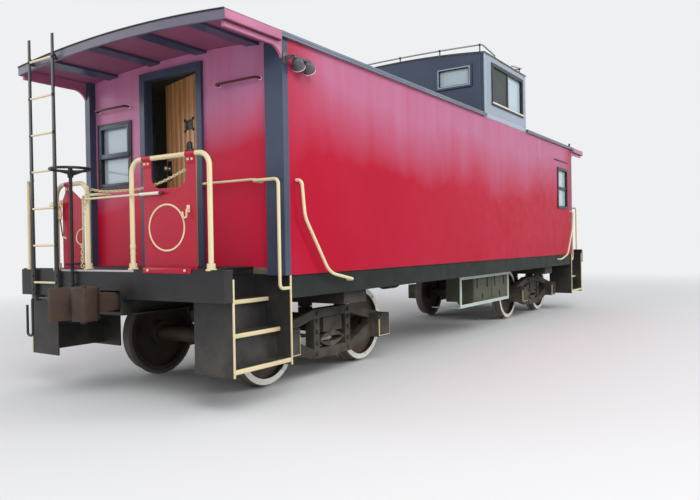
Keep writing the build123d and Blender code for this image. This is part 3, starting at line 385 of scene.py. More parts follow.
# %% [markdown]
# The wheels are cast steel with a skin of rust and oil, and their rims are painted white outside.
# A ring could be modelled, but it is only paint, so the finish asks two things of each point: how
# far it is from its own axle, and whether it is on the rim's outer face. Each wheelset has its own
# axle, so each gets its own copy of the finish.
# %% Cast steel
def cast(name, axle=None, face=None):
    finish, tree, shader = new_finish(name)
    where = place_on(tree)
    rust = span(tree, noise(tree, where, 6.0, 8.0, 0.7), 0.35, 0.7)
    base = mixed(tree, rust, (0.030, 0.027, 0.026, 1), (0.095, 0.045, 0.022, 1))
    base = mixed(tree, times(tree, span(tree, noise(tree, where, 2.0, 5.0), 0.4, 0.8), 0.4), base, DUST)
    rough = span(tree, rust, 0, 1, 0.48, 0.85)
    if axle:
        parts = parts_of(tree, place_on(tree, centre=axle))
        flat = put(tree, "ShaderNodeCombineXYZ", {0: parts[0], 2: parts[2]}).outputs[0]
        away = put(tree, "ShaderNodeVectorMath", {0: flat}, operation="LENGTH").outputs["Value"]
        outside = maths(tree, "GREATER_THAN", size_of(tree, parts[1]), face)
        ring = times(tree, maths(tree, "GREATER_THAN", away, rim_inner), outside)
        kept = span(tree, noise(tree, where, 9.0, 6.0, 0.7), 0.30, 0.42)
        base = mixed(tree, times(tree, ring, kept), base, (0.74, 0.72, 0.66, 1))
        tread = times(tree, maths(tree, "GREATER_THAN", away, tread_radius - 0.012),
                      below(tree, size_of(tree, parts[1]), face))
        base = mixed(tree, times(tree, tread, 0.6), base, (0.20, 0.17, 0.15, 1))
    grain = bumped(tree, noise(tree, where, 55.0, 4.0, 0.7), 0.0025, 0.7, over=rounded(tree, 0.006))
    fill(tree, shader, {"Base Color": base, "Roughness": rough, "Metallic": 0.35, "Normal": grain})
    return finish


wheel_low, wheel_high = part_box("wheelset_1")
flange_radius = (wheel_high.z - wheel_low.z) / 2
tread_radius = flange_radius - 0.026
rim_inner = tread_radius - 0.064
wheel_face = 0.8155
cast_steel = cast("rusty_cast_steel")
for number in (1, 2, 3, 4):
    low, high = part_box(f"wheelset_{number}")
    nodes[f"wheelset_{number}"].data.materials.clear()
    nodes[f"wheelset_{number}"].data.materials.append(
        cast(f"wheel_steel_{number}", axle=(low + high) / 2, face=wheel_face))
print("wheel tread radius", round(tread_radius, 3), "m")

# %% [markdown]
# The roof is covered in tarred canvas, laid in sheets across the car with a lap every metre or so.
# Under the canopies the same panel is the plum ceiling, so the finish looks at which way the
# surface faces before it chooses.
# %% Roof covering
def roofing(name, ceiling_from):
    finish, tree, shader = new_finish(name)
    where = place_on(tree)
    x, y, z = parts_of(tree, where)[:3]
    base = mixed(tree, span(tree, noise(tree, where, 1.3, 6.0, 0.65), 0.35, 0.7), (0.030, 0.036, 0.044, 1),
                 (0.070, 0.074, 0.080, 1))
    base = mixed(tree, span(tree, noise(tree, where, 90.0, 2.0), 0.55, 0.75), base, (0.11, 0.11, 0.11, 1))
    lap = maths(tree, "FRACT", maths(tree, "DIVIDE", x, 0.93))
    seam = below(tree, lap, 0.012)
    base = mixed(tree, times(tree, seam, 0.7), base, (0.012, 0.013, 0.015, 1))
    facing = parts_of(tree, put(tree, "ShaderNodeNewGeometry").outputs["Normal"])[2]
    under = below(tree, facing, -0.5)
    outside = maths(tree, "GREATER_THAN", size_of(tree, x), ceiling_from)
    ceiling = mixed(tree, outside, CABIN_PAINT, PLUM)
    base = mixed(tree, under, base, ceiling)
    step = maths(tree, "ADD", noise(tree, where, 130.0, 2.0), times(tree, seam, -1.5))
    weave = bumped(tree, step, 0.0015, 0.6, over=rounded(tree, 0.006))
    fill(tree, shader, {"Base Color": base, "Roughness": 0.7, "Normal": weave})
    return finish


roof_covering = roofing("tarred_canvas", half_length - 0.001)

# %% [markdown]
# Wood tells its direction: rings stretched into long streaks, with darker pores. Noise that is
# squeezed across the board and stretched along it gives that. The same recipe serves the doors,
# whose boards stand upright, and the floor, whose boards lie across the car.
# %% Wood
def wooden(name, light, dark, stretch, rough, board_axis=None, board_width=0.1):
    finish, tree, shader = new_finish(name)
    where = place_on(tree, stretch=stretch)
    streaks = noise(tree, where, 3.0, 8.0, 0.62)
    base = mixed(tree, span(tree, streaks, 0.35, 0.68), light, dark)
    pores = span(tree, noise(tree, where, 22.0, 3.0), 0.62, 0.75)
    base = mixed(tree, times(tree, pores, 0.5), base, tuple(0.4 * v for v in dark[:3]) + (1,))
    height = streaks
    if board_axis is not None:
        along = parts_of(tree, place_on(tree))[board_axis]
        share = maths(tree, "FRACT", maths(tree, "DIVIDE", maths(tree, "ADD", along, 20), board_width))
        gap = below(tree, share, 0.05)
        base = mixed(tree, gap, base, (0.01, 0.008, 0.006, 1))
        height = maths(tree, "SUBTRACT", streaks, gap)
    grain = bumped(tree, height, 0.0015, 0.5, over=rounded(tree, 0.002))
    fill(tree, shader, {"Base Color": base, "Roughness": rough, "Normal": grain})
    return finish


door_wood = wooden("varnished_fir", (0.56, 0.28, 0.115, 1), (0.36, 0.15, 0.050, 1), (5, 5, 0.5), 0.35)
floor_wood = wooden("worn_floor_boards", (0.21, 0.15, 0.10, 1), (0.11, 0.075, 0.05, 1), (7, 0.7, 7), 0.7,
                    board_axis=0, board_width=0.11)

# %% [markdown]
# Old window glass has small waves, and its pale colour is a painted reflection of a bright sky. It
# lets some of the dark cabin through, and the rest of its look is what it reflects.
# %% Glass
glass, tree, shader = new_finish("window_glass")
wave = bumped(tree, noise(tree, place_on(tree), 4.0, 2.0), 0.001, 0.5)
fill(tree, shader, {"Base Color": (0.56, 0.68, 0.74, 1), "Roughness": 0.05, "Transmission Weight": 0.25,
                    "IOR": 1.5, "Normal": wave})

# %% [markdown]
# Each solid whose shape is already right keeps its place and only gets its finish.
# %% Give the solids their finishes
finish_of = {
    "side_wall_right": crimson_sides, "side_wall_left": crimson_sides, "end_walls": crimson_ends,
    "canopy_sides": mauve, "railing_panels": crimson, "canopy_arches": arch_grey, "carlines": slate,
    "corner_posts": slate, "door_frames": slate, "cupola_sides": sky_lit_cupola_sides,
    "cupola_ends": slate_cupola_ends, "cupola_roof": roof_covering, "roof_long": roof_covering,
    "roof_short": roof_covering, "cupola_rails": black, "window_frames": black, "window_glass": glass,
    "ladders": black, "hand_brakes": black, "uncoupling_levers": black, "stairs": black, "platforms": black,
    "corner_lamps": black, "side_sills": sill_green, "tool_box": olive, "box_cradle": pale_cradle,
    "railings": cream, "gate_bars": cream, "corner_handrails": cream, "ladder_grabs": cream,
    "end_grabs": crimson, "floor": floor_wood, "door_a": door_wood, "door_b": door_wood,
    "coupler_a": cast_steel, "coupler_b": cast_steel,
}
for name, solid in nodes.items():
    if not name.startswith("wheelset"):
        solid.data.materials.clear()
        solid.data.materials.append(finish_of.get(name, underframe))
print(len(nodes), "solids have their finish")

# %% [markdown]
# From here on new pieces are modelled, each as it would be by hand: a primitive at its size and
# place, shaped in edit mode and finished with modifiers. Operators act on all that is selected, so
# each helper deselects everything first. The car's two ends are alike turned half round, so a
# piece is modelled at end A, and its copy for end B is turned about the middle of the car.
# %% Helpers for modelling
def alone(piece):
    bpy.ops.object.select_all(action="DESELECT")
    piece.select_set(True)
    bpy.context.view_layer.objects.active = piece


def primitive(kind, name, **fields):
    """A primitive with its place, turn and scale moved into its mesh."""
    bpy.ops.object.select_all(action="DESELECT")
    getattr(bpy.ops.mesh, f"primitive_{kind}_add")(**fields)
    piece = bpy.context.object
    piece.name = name
    bpy.ops.object.transform_apply(location=True, rotation=True, scale=True)
    return piece


def slab(name, low, high):
    middle = [(a + b) / 2 for a, b in zip(low, high)]
    return primitive("cube", name, size=1, location=middle, scale=[b - a for a, b in zip(low, high)])


AXIS_TURN = {"X": (0, math.pi / 2, 0), "Y": (math.pi / 2, 0, 0), "Z": (0, 0, 0)}


def cylinder(name, sides, radius, length, place, axis="Z"):
    return primitive("cylinder", name, vertices=sides, radius=radius, depth=length, location=place,
                     rotation=AXIS_TURN[axis])


def open_edit(piece, action="SELECT"):
    """Opens edit mode with all of the piece selected, or none of it."""
    alone(piece)
    bpy.ops.object.mode_set(mode="EDIT")
    bpy.ops.mesh.select_all(action=action)


def pick_faces(piece, wanted):
    """Opens edit mode with only those faces selected whose middle and normal are wanted."""
    open_edit(piece, "DESELECT")
    bpy.ops.mesh.select_mode(type="FACE")
    mesh = bmesh.from_edit_mesh(piece.data)
    for face in mesh.faces:
        face.select_set(bool(wanted(face.calc_center_median(), face.normal)))
    bmesh.update_edit_mesh(piece.data)


def close_edit():
    bpy.ops.object.mode_set(mode="OBJECT")


def mirrored(sign, near, far):
    """A run from near to far, or the same run on the other side of the middle, in rising order."""
    return sorted((sign * near, sign * far))


def bevelled(piece, width, segments=2, angle=35):
    alone(piece)
    soft = piece.modifiers.new("soft_edges", "BEVEL")
    soft.width, soft.segments = width, segments
    soft.limit_method, soft.angle_limit = "ANGLE", math.radians(angle)
    bpy.ops.object.modifier_apply(modifier=soft.name)
    return piece


def block(name, low, high, width, segments=2):
    """A slab with bevelled edges."""
    return bevelled(slab(name, low, high), width, segments)


def joined(name, pieces):
    pieces = list(pieces)
    alone(pieces[0])
    for piece in pieces:
        piece.select_set(True)
    bpy.ops.object.join()
    pieces[0].name = name
    return pieces[0]


def copied(piece, matrix, name):
    """A copy with its own mesh, moved by a matrix."""
    made = piece.copy()
    made.data = piece.data.copy()
    made.name = name
    bpy.context.scene.collection.objects.link(made)
    made.data.transform(matrix)
    return made


HALF_TURN = Matrix.Rotation(math.pi, 4, "Z")


def both_ends(piece):
    return joined(piece.name, [piece, copied(piece, HALF_TURN, piece.name + "_far")])


def clean_normals(piece):
    open_edit(piece)
    bpy.ops.mesh.remove_doubles(threshold=0.0001)
    bpy.ops.mesh.normals_make_consistent(inside=False)
    close_edit()
    return piece


def fitted(piece, finish, body="car_body", instead_of=(), smooth=35):
    """Gives a finished piece its material, its paint in the record, its body and what it stands for."""
    alone(piece)
    bpy.ops.object.shade_smooth_by_angle(angle=math.radians(smooth))
    piece.data.materials.clear()
    piece.data.materials.append(finish)
    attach(piece, body)
    if instead_of:
        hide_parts(*instead_of)
    return piece


def both(name, pieces, finish, instead_of=()):
    """Joins the pieces of end A, repeats them at end B and fits them to the car's body."""
    return fitted(both_ends(joined(name, pieces)), finish, instead_of=instead_of)


def tube(name, points, radius, bend=0.0, closed=False, sides=10):
    """A pipe along points: a curve with a round bevel, its corners filleted, turned into a mesh."""
    route = []
    points = [Vector(p) for p in points]
    for index, point in enumerate(points):
        if bend and (closed or 0 < index < len(points) - 1):
            before = (points[index - 1] - point).normalized()
            after = (points[(index + 1) % len(points)] - point).normalized()
            opening = before.angle(after)
            if math.pi - opening > 0.02:
                reach = bend / math.tan(opening / 2)
                start, end = point + before * reach, point + after * reach
                steps = 8
                for step in range(steps + 1):
                    t = step / steps
                    route.append((1 - t) ** 2 * start + 2 * t * (1 - t) * point + t ** 2 * end)
                continue
        route.append(point)
    curve = bpy.data.curves.new(name, "CURVE")
    curve.dimensions = "3D"
    curve.bevel_depth, curve.bevel_resolution = radius, max(1, sides // 4)
    curve.use_fill_caps = True
    line = curve.splines.new("POLY")
    line.points.add(len(route) - 1)
    for place, point in zip(line.points, route):
        place.co = (*point, 1)
    line.use_cyclic_u = closed
    piece = bpy.data.objects.new(name, curve)
    bpy.context.scene.collection.objects.link(piece)
    alone(piece)
    bpy.ops.object.convert(target="MESH")
    piece = bpy.context.object
    return clean_normals(piece)


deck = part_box("platforms")[1].z
sill_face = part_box("platforms")[0].x
sill_low = deck - 0.25
rail_x = sill_face + 0.05
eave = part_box("side_wall_right")[1].z
print("deck", round(deck, 3), "end sill", round(sill_face, 3), "eaves", round(eave, 3))

# %% [markdown]
# A bolt head is small, but dozens of them are what makes plates look fastened. One is modelled: a
# six-sided prism whose top is inset and pushed up into a low crown. All others are copies of it.
# %% Bolt heads
def bolt_head(radius=0.012, height=0.009):
    """A hexagon head that stands on z = 0 and points up."""
    head = cylinder("bolt", 6, radius, height, (0, 0, height / 2))
    pick_faces(head, lambda middle, normal: normal.z > 0.9)
    bpy.ops.mesh.inset(thickness=radius * 0.25)
    bpy.ops.transform.translate(value=(0, 0, height * 0.25))
    close_edit()
    return head


def facing(place, direction):
    """The matrix that stands a piece made on z = 0 at a place, pointing in a direction."""
    turn = Vector(direction).to_track_quat("Z", "Y").to_matrix().to_4x4()
    return Matrix.Translation(place) @ turn


def bolts(name, places, direction, radius=0.012, height=0.009):
    pattern = bolt_head(radius, height)
    made = [copied(pattern, facing(place, direction), f"{name}_{index}")
            for index, place in enumerate(places)]
    bpy.data.objects.remove(pattern)
    return joined(name, made)


# %% [markdown]
# The doors are seven upright boards of varnished fir on three ledges. Boards could be drawn on a
# slab by its finish, but a joint between boards catches light and dirt, so each board is its own
# bevelled slab. The door is modelled shut, about its hinge line, and then turned and carried to
# its place. Door A stands ajar, by the angle that its joint can still close.
# %% Boarded doors
leaf_width, leaf_height, leaf_thickness = 0.734, 1.884, 0.045
board_count, board_joint = 7, 0.0025
joint_of = {joint["name"]: joint for joint in frame["joints"]}
ajar = -joint_of["door_a_hinge"]["range_deg"][0]


def door_boards(name):
    board = leaf_width / board_count
    boards = []
    for index in range(board_count):
        plank = slab(f"{name}_board", (-leaf_thickness, index * board + board_joint, 0),
                     (-0.018, (index + 1) * board - board_joint, leaf_height))
        boards.append(bevelled(plank, 0.004))
    for low, high in ((0.10, 0.24), (0.86, 1.00), (leaf_height - 0.24, leaf_height - 0.10)):
        boards.append(block(f"{name}_ledge", (-0.018, 0.03, low), (0, leaf_width - 0.03, high), 0.005))
    return joined(name, boards)


def door_metal(name):
    """A plate with four bolts, an arched latch under it, the lock's plate, and three hinges."""
    face = -leaf_thickness
    plate_y, plate_z = 0.20, 1.40
    parts = [block("plate", (face - 0.006, plate_y - 0.075, plate_z - 0.048),
                   (face, plate_y + 0.075, plate_z + 0.048), 0.002)]
    corners = [(face, plate_y + a * 0.085, plate_z + b * 0.054) for a in (-1, 1) for b in (-1, 1)]
    parts.append(bolts("plate_bolts", corners, (-1, 0, 0), 0.015, 0.010))
    latch_z = plate_z - 0.215
    arch = cylinder("latch", 32, 0.052, 0.012, (face - 0.006, plate_y, latch_z), "X")
    parts.append(bevelled(arch, 0.003))
    parts.append(block("latch_foot", (face - 0.016, plate_y - 0.078, latch_z - 0.10),
                       (face, plate_y + 0.078, latch_z - 0.025), 0.004))
    lock = slab("lock", (face - 0.008, leaf_width - 0.125, 0.885), (face, leaf_width - 0.045, 1.085))
    parts.append(bevelled(lock, 0.018, 4))
    for z in (0.20, 0.95, leaf_height - 0.18):
        parts.append(cylinder("hinge", 16, 0.0065, 0.10, (0, 0, z)))
        parts.append(block("hinge_strap", (0, 0.0, z - 0.045), (0.004, 0.22, z + 0.045), 0.0015))
    return joined(name, parts)


def door_knob(name):
    """A turned knob: a rose, a neck and a ball, pushed and pulled out of a cylinder's end."""
    knob = cylinder(name, 24, 0.026, 0.006, (0, 0, 0.003))
    for push, size in ((0.0, 0.45), (0.022, 1.0), (0.004, 1.9), (0.010, 1.25), (0.010, 0.95), (0.008, 0.6)):
        pick_faces(knob, lambda middle, normal: normal.z > 0.9 and middle.xy.length < 0.001)
        bpy.ops.mesh.extrude_region_move(TRANSFORM_OT_translate={"value": (0, 0, push)})
        bpy.ops.transform.resize(value=(size, size, 1), center_override=(0, 0, 0))
        close_edit()
    outside = copied(knob, facing((-leaf_thickness - 0.008, leaf_width - 0.085, 1.005), (-1, 0, 0)),
                     name + "_outside")
    inside = copied(knob, facing((0, leaf_width - 0.085, 1.005), (1, 0, 0)), name + "_inside")
    bpy.data.objects.remove(knob)
    return joined(name, [outside, inside])


iron = painted("black_iron", (0.010, 0.010, 0.011, 1), (0.03, 0.026, 0.022, 1), 0.42, wear=0.5)
nickel, tree, shader = new_finish("dull_nickel")
scuffs = span(tree, noise(tree, place_on(tree), 60.0, 5.0), 0.3, 0.7, 0.22, 0.42)
fill(tree, shader, {"Base Color": (0.62, 0.60, 0.56, 1), "Metallic": 0.9, "Roughness": scuffs})

hinge_x, hinge_y, hinge_z = 4.351, 0.272, deck + 0.008
door_places = {
    "a": Matrix.Translation((-hinge_x, -hinge_y, hinge_z)) @ Matrix.Rotation(math.radians(-ajar), 4, "Z"),
    "b": Matrix.Translation((hinge_x, hinge_y, hinge_z)) @ HALF_TURN,
}
door_parts = ((door_boards("door_boards"), door_wood), (door_metal("door_ironwork"), iron),
              (door_knob("door_knobs"), nickel))
for end, place in door_places.items():
    for part, finish in door_parts:
        piece = copied(part, place, f"{part.name}_{end}")
        fitted(piece, finish, f"door_leaf_{end}", [f"door_{end}"])
for part, finish in door_parts:
    bpy.data.objects.remove(part)
print("door A stands", ajar, "degrees open")

# %% [markdown]
# Each ladder is two flat bars with round rungs, painted at different times: black bars, cream
# rungs. A rung passes through both bars and is hammered over outside, so a low dome shows there.
# The bars stand off the end sill on blocks, and two straps hold them to the roof's edge.
# %% Ladders
bar_low, bar_high = sill_low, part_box("ladders")[1].z
bar_outer_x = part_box("ladders")[0].x
bar_inner_x = bar_outer_x + 0.014
bar_reach = 0.032
ladder_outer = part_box("ladders")[1].y - bar_reach
ladder_width, rung_count, first_rung, rung_pitch = 0.385, 7, 0.125, 0.357
ladder_middles = (ladder_outer - ladder_width, ladder_outer)
rung_heights = [bar_low + first_rung + rung_pitch * index for index in range(rung_count)]
arch_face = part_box("canopy_arches")[0].x

parts = []
for y in ladder_middles:
    bar = slab("ladder_bar", (bar_outer_x, y - bar_reach, bar_low), (bar_inner_x, y + bar_reach, bar_high))
    pick_faces(bar, lambda middle, normal: normal.z > 0.9)
    bpy.ops.transform.resize(value=(1, 0.55, 1), center_override=(bar_outer_x, y, bar_high))
    close_edit()
    parts.append(bevelled(bar, 0.004))
    parts.append(block("foot", (bar_inner_x, y - bar_reach, bar_low),
                       (sill_face, y + bar_reach, deck), 0.003))
    strap = tube("strap", [(bar_inner_x, y, eave + 0.05), (bar_inner_x + 0.05, y, eave),
                           (arch_face, y, eave)], 0.011, bend=0.02)
    parts.append(strap)
    domes = [(bar_outer_x, y, z) for z in rung_heights + [deck - 0.06, deck - 0.19]]
    parts.append(bolts("domes", domes, (-1, 0, 0), 0.014, 0.007))
both("ladder_bars", parts, black, ["ladders"])
middle_x = (bar_outer_x + bar_inner_x) / 2
rungs = [cylinder("rung", 14, 0.011, ladder_middles[1] - ladder_middles[0],
                  (middle_x, sum(ladder_middles) / 2, z), "Y") for z in rung_heights]
both("ladder_rungs", rungs, cream, ["ladders"])
print(2 * len(rungs), "rungs")

# %% [markdown]
# The hand brake's wheel is cast: a round rim, five spokes that dip to the hub, and a nut on top. A
# flat wheel would look like a lid from the side, so the spokes are bent pipes whose middles hang
# low. Below, the staff passes through a ratchet with a pawl that holds it.
# %% Hand brakes
staff_x, staff_y = sill_face - 0.030, 0.505
wheel_z, wheel_radius, spoke_count, ratchet_teeth = deck + 0.930, 0.190, 5, 16
ratchet_z = deck + 0.055
rim = primitive("torus", "rim", location=(staff_x, staff_y, wheel_z), major_radius=wheel_radius - 0.013,
                minor_radius=0.013, major_segments=48, minor_segments=10)
parts = [rim]
for index in range(spoke_count):
    angle = math.radians(90 + 360 / spoke_count * index)
    out = Vector((math.cos(angle), math.sin(angle), 0))
    middle = Vector((staff_x, staff_y, wheel_z))
    spoke = [middle + out * reach + Vector((0, 0, -drop))
             for reach, drop in ((0.02, 0.030), (0.07, 0.028), (0.14, 0.008), (wheel_radius - 0.015, 0))]
    parts.append(tube("spoke", spoke, 0.0095, bend=0.02))
hub = cylinder("hub", 24, 0.032, 0.042, (staff_x, staff_y, wheel_z - 0.028))
parts.append(bevelled(hub, 0.006, 3))
parts.append(cylinder("nut", 6, 0.020, 0.020, (staff_x, staff_y, wheel_z + 0.002)))
parts.append(cylinder("staff", 18, 0.016, wheel_z - sill_low, (staff_x, staff_y, (wheel_z + sill_low) / 2)))
ratchet = cylinder("ratchet", 2 * ratchet_teeth, 0.062, 0.018, (staff_x, staff_y, ratchet_z))
open_edit(ratchet, "DESELECT")
mesh = bmesh.from_edit_mesh(ratchet.data)
for vertex in mesh.verts:
    angle = math.atan2(vertex.co.y - staff_y, vertex.co.x - staff_x)
    vertex.select_set(round(angle / math.pi * ratchet_teeth) % 2 == 0)
bmesh.update_edit_mesh(ratchet.data)
bpy.ops.transform.resize(value=(0.84, 0.84, 1), center_override=(staff_x, staff_y, ratchet_z))
close_edit()
parts.append(ratchet)
pawl = slab("pawl", (staff_x + 0.045, staff_y - 0.10, deck + 0.047),
            (staff_x + 0.070, staff_y + 0.02, deck + 0.063))
parts.append(bevelled(pawl, 0.005))
for z in (sill_low + 0.125, deck - 0.012):
    parts.append(block("bracket", (staff_x - 0.024, staff_y - 0.032, z - 0.012),
                       (sill_face, staff_y + 0.032, z), 0.004))
stay_z = wheel_z - 0.060
post_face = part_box("corner_posts")[0].x
parts.append(tube("stay", [(staff_x, staff_y, stay_z), (post_face, half_width - 0.040, stay_z + 0.185)],
                  0.009))
parts.append(bevelled(cylinder("collar", 20, 0.026, 0.035, (staff_x, staff_y, stay_z)), 0.004))
both("hand_brake_gear", parts, black, ["hand_brakes"])
print("brake wheel", 2 * wheel_radius, "m across")

# %% [markdown]
# A panel of sheet steel hangs in each railing from straps that wrap round the top tube. The sheet
# itself is right as a solid, so only its straps and bolts are added, and the plain cream ring that
# is painted on the wider one. The ring is a torus pressed flat, so that its round edge catches
# light.
# %% Railing fittings
panel_face = rail_x - 0.003
wide_outer, wide_inner, wide_top = -1.210, -0.262, deck + 0.950
narrow_inner, narrow_outer, narrow_top = 0.368, 0.852, deck + 0.805
ring_y, ring_z = -0.700, 1.535
ring = primitive("torus", "panel_ring", location=(panel_face, ring_y, ring_z), rotation=(0, math.pi / 2, 0),
                 major_radius=0.2065, minor_radius=0.0085, major_segments=72, minor_segments=10)
open_edit(ring)
bpy.ops.transform.resize(value=(0.5, 1.04, 0.933), center_override=(panel_face, ring_y, ring_z))
close_edit()
fitted(both_ends(ring), cream)

straps, places = [], []
for y, top, width in ((-1.002, wide_top, 0.112), (-0.470, wide_top, 0.112), (0.650, narrow_top, 0.104)):
    wrap = cylinder("wrap", 24, 0.0245, width, (rail_x, y, top), "Y")
    straps.append(bevelled(wrap, 0.002, 1))
    straps.append(block("flap", (panel_face - 0.005, y - width / 2, top - 0.078),
                        (panel_face, y + width / 2, top - 0.014), 0.002))
    places += [(panel_face - 0.005, y + side * 0.022, top - 0.046) for side in (-1, 1)]
both("panel_straps", straps, crimson)
fitted(both_ends(bolts("panel_bolts", places, (-1, 0, 0), 0.011, 0.008)), cream)

toe = slab("toe_board", (sill_face - 0.006, -1.035, deck - 0.022), (sill_face, -0.455, deck + 0.026))
fitted(both_ends(bevelled(toe, 0.003)), crimson)
fitted(both_ends(bolts("toe_bolts", [(sill_face - 0.006, y, deck + 0.004) for y in (-0.97, -0.52)],
                       (-1, 0, 0), 0.012, 0.008)), cream)

unions = []
for z, height, radius in ((1.381, 0.034, 0.0245), (1.321, 0.010, 0.0255)):
    union = cylinder("union", 24, radius, height, (rail_x, wide_inner, z))
    unions.append(bevelled(union, 0.003))
for y in (wide_outer, wide_inner, narrow_inner, narrow_outer):
    flange = cylinder("flange", 32, 0.046, 0.012, (rail_x, y, deck + 0.006))
    unions.append(bevelled(flange, 0.003))
    around = [(rail_x + 0.037 * math.cos(a), y + 0.037 * math.sin(a), deck + 0.012)
              for a in (math.pi / 4, 3 * math.pi / 4, 5 * math.pi / 4, 7 * math.pi / 4)]
    unions.append(bolts("flange_bolts", around, (0, 0, 1), 0.006, 0.005))
both("railing_unions", unions, cream)
print(len(places), "strap bolts on a pair of railings")

# %% [markdown]
# On the narrow railing's outer leg sits an old air valve: a body clamped round the pipe, a cross
# handle, a nozzle that hangs down and a thin rod. On the wide panel a cream hook waits for the
# chain. Both are small castings whose parts run into each other, so their joints are hidden.
# %% Air valve and hook
valve_x, valve_z = rail_x - 0.012, 1.790
body = cylinder("valve_body", 24, 0.036, 0.095, (valve_x, narrow_outer + 0.004, valve_z), "Y")
parts = [bevelled(body, 0.008, 3)]
for y in (narrow_outer - 0.048, narrow_outer + 0.054):
    nut = cylinder("valve_nut", 6, 0.029, 0.020, (valve_x, y, valve_z), "Y")
    parts.append(bevelled(nut, 0.003))
neck = cylinder("valve_neck", 20, 0.019, 0.075, (valve_x - 0.014, narrow_outer - 0.080, valve_z + 0.003),
                "Y")
parts.append(bevelled(neck, 0.004, 3))
for turn in (math.radians(35), math.radians(125)):
    arm = primitive("cylinder", "cross_arm", vertices=14, radius=0.011, depth=0.092,
                    location=(valve_x - 0.030, narrow_outer - 0.112, valve_z + 0.005),
                    rotation=(turn, 0, 0))
    parts.append(bevelled(arm, 0.005, 3))
for z, height, radius in ((1.742, 0.040, 0.018), (1.704, 0.045, 0.024), (1.668, 0.034, 0.020)):
    nozzle = cylinder("nozzle", 20, radius, height, (valve_x - 0.016, narrow_outer - 0.086, z))
    parts.append(bevelled(nozzle, 0.005, 3))
foot = tube("valve_foot", [(valve_x - 0.024, narrow_outer - 0.140, 1.488),
                           (valve_x - 0.024, narrow_outer - 0.197, 1.470)], 0.007)
both("air_valves", parts + [foot], cream)
rod = tube("valve_rods", [(valve_x - 0.016, narrow_outer - 0.092, 1.660),
                          (valve_x - 0.022, narrow_outer - 0.120, 1.570),
                          (valve_x - 0.024, narrow_outer - 0.142, 1.484)], 0.006, bend=0.03)
fitted(both_ends(rod), iron)

hook_y, hook_z = -0.968, 1.646
hook = tube("hook", [(panel_face, hook_y, hook_z + 0.035), (panel_face - 0.022, hook_y, hook_z + 0.030),
                     (panel_face - 0.026, hook_y, hook_z - 0.035),
                     (panel_face - 0.055, hook_y + 0.006, hook_z - 0.040),
                     (panel_face - 0.060, hook_y + 0.008, hook_z + 0.010)], 0.0075, bend=0.014)
foot = block("hook_foot", (panel_face - 0.006, hook_y - 0.018, hook_z + 0.005),
             (panel_face, hook_y + 0.018, hook_z + 0.065), 0.003)
both("chain_hooks", [hook, foot], cream)

# %% [markdown]
# A chain is the same link again and again, each turned a quarter against the last. The link is a
# torus stretched in edit mode: its two halves are moved apart, and the sides between them become
# straight. The chain's line sags between its hooks, and links are set along it at an even pitch.
# %% Chains
link_pitch, link_wire = 0.0305, 0.0036


def chain_link():
    link = primitive("torus", "link", major_radius=0.0104, minor_radius=link_wire, major_segments=12,
                     minor_segments=6)
    for side in (1, -1):
        open_edit(link, "DESELECT")
        mesh = bmesh.from_edit_mesh(link.data)
        for vertex in mesh.verts:
            vertex.select_set(vertex.co.x * side > 0.0005)
        bmesh.update_edit_mesh(link.data)
        bpy.ops.transform.translate(value=(side * 0.0085, 0, 0))
        close_edit()
    return link


def along(points, pitch):
    """Places at an even pitch on a smooth line through points, with the line's direction there."""
    points = [Vector(p) for p in points]
    ends = [2 * points[0] - points[1]] + points + [2 * points[-1] - points[-2]]
    fine, steps = [], 24
    for before, start, end, after in zip(ends, ends[1:], ends[2:], ends[3:]):
        for step in range(steps):
            t = step / steps
            square = 2 * before - 5 * start + 4 * end - after
            cube = 3 * start - before - 3 * end + after
            fine.append(0.5 * (2 * start + (end - before) * t + square * t ** 2 + cube * t ** 3))
    fine.append(points[-1])
    travelled, due = 0.0, 0.0
    for first, second in zip(fine, fine[1:]):
        length = (second - first).length
        while due <= travelled + length:
            yield first.lerp(second, (due - travelled) / length), (second - first).normalized()
            due += pitch
        travelled += length


def chain(name, points):
    link = chain_link()
    links = []
    for index, (place, direction) in enumerate(along(points, link_pitch)):
        turn = direction.to_track_quat("X", "Z").to_matrix().to_4x4()
        roll = Matrix.Rotation(math.radians(45 + 90 * (index % 2)), 4, "X")
        links.append(copied(link, Matrix.Translation(place) @ turn @ roll, f"{name}_link"))
    bpy.data.objects.remove(link)
    return joined(name, links)


gap_line = [(rail_x + 0.022, 0.331, 1.915), (rail_x + 0.024, 0.20, 1.893), (rail_x + 0.024, 0.065, 1.883),
            (rail_x + 0.024, -0.10, 1.880), (rail_x + 0.026, -0.226, 1.880),
            (rail_x + 0.028, -0.386, 1.886), (rail_x + 0.024, -0.541, 1.905),
            (rail_x + 0.018, -0.72, 1.945), (rail_x + 0.012, -0.905, 1.997)]
fitted(both_ends(chain("gap_chains", gap_line)), cream)
hang_x = sill_face + 0.014
upper_line = [(rail_x - 0.026, 0.334, 1.925), (rail_x - 0.028, 0.346, 1.850), (hang_x, 0.373, 1.743),
              (hang_x, 0.384, 1.660), (hang_x, 0.387, 1.560)]
lower_line = [(hang_x, 0.412, 1.398), (hang_x, 0.411, 1.340), (hang_x, 0.414, 1.250),
              (hang_x, 0.416, 1.190)]
hanging = joined("hanging_chains", [chain("upper_chain", upper_line), chain("lower_chain", lower_line)])
fitted(both_ends(hanging), cream)
big_hook = tube("chain_hook_rings", [(hang_x, 0.389, 1.556), (hang_x, 0.441, 1.547), (hang_x, 0.479, 1.519),
                                     (hang_x, 0.495, 1.482), (hang_x, 0.492, 1.447), (hang_x, 0.469, 1.422),
                                     (hang_x, 0.440, 1.412), (hang_x, 0.414, 1.402)], 0.0055, bend=0.012)
fitted(both_ends(big_hook), cream)
print("links in both ends' gap chains:", 2 * len(list(along(gap_line, link_pitch))))

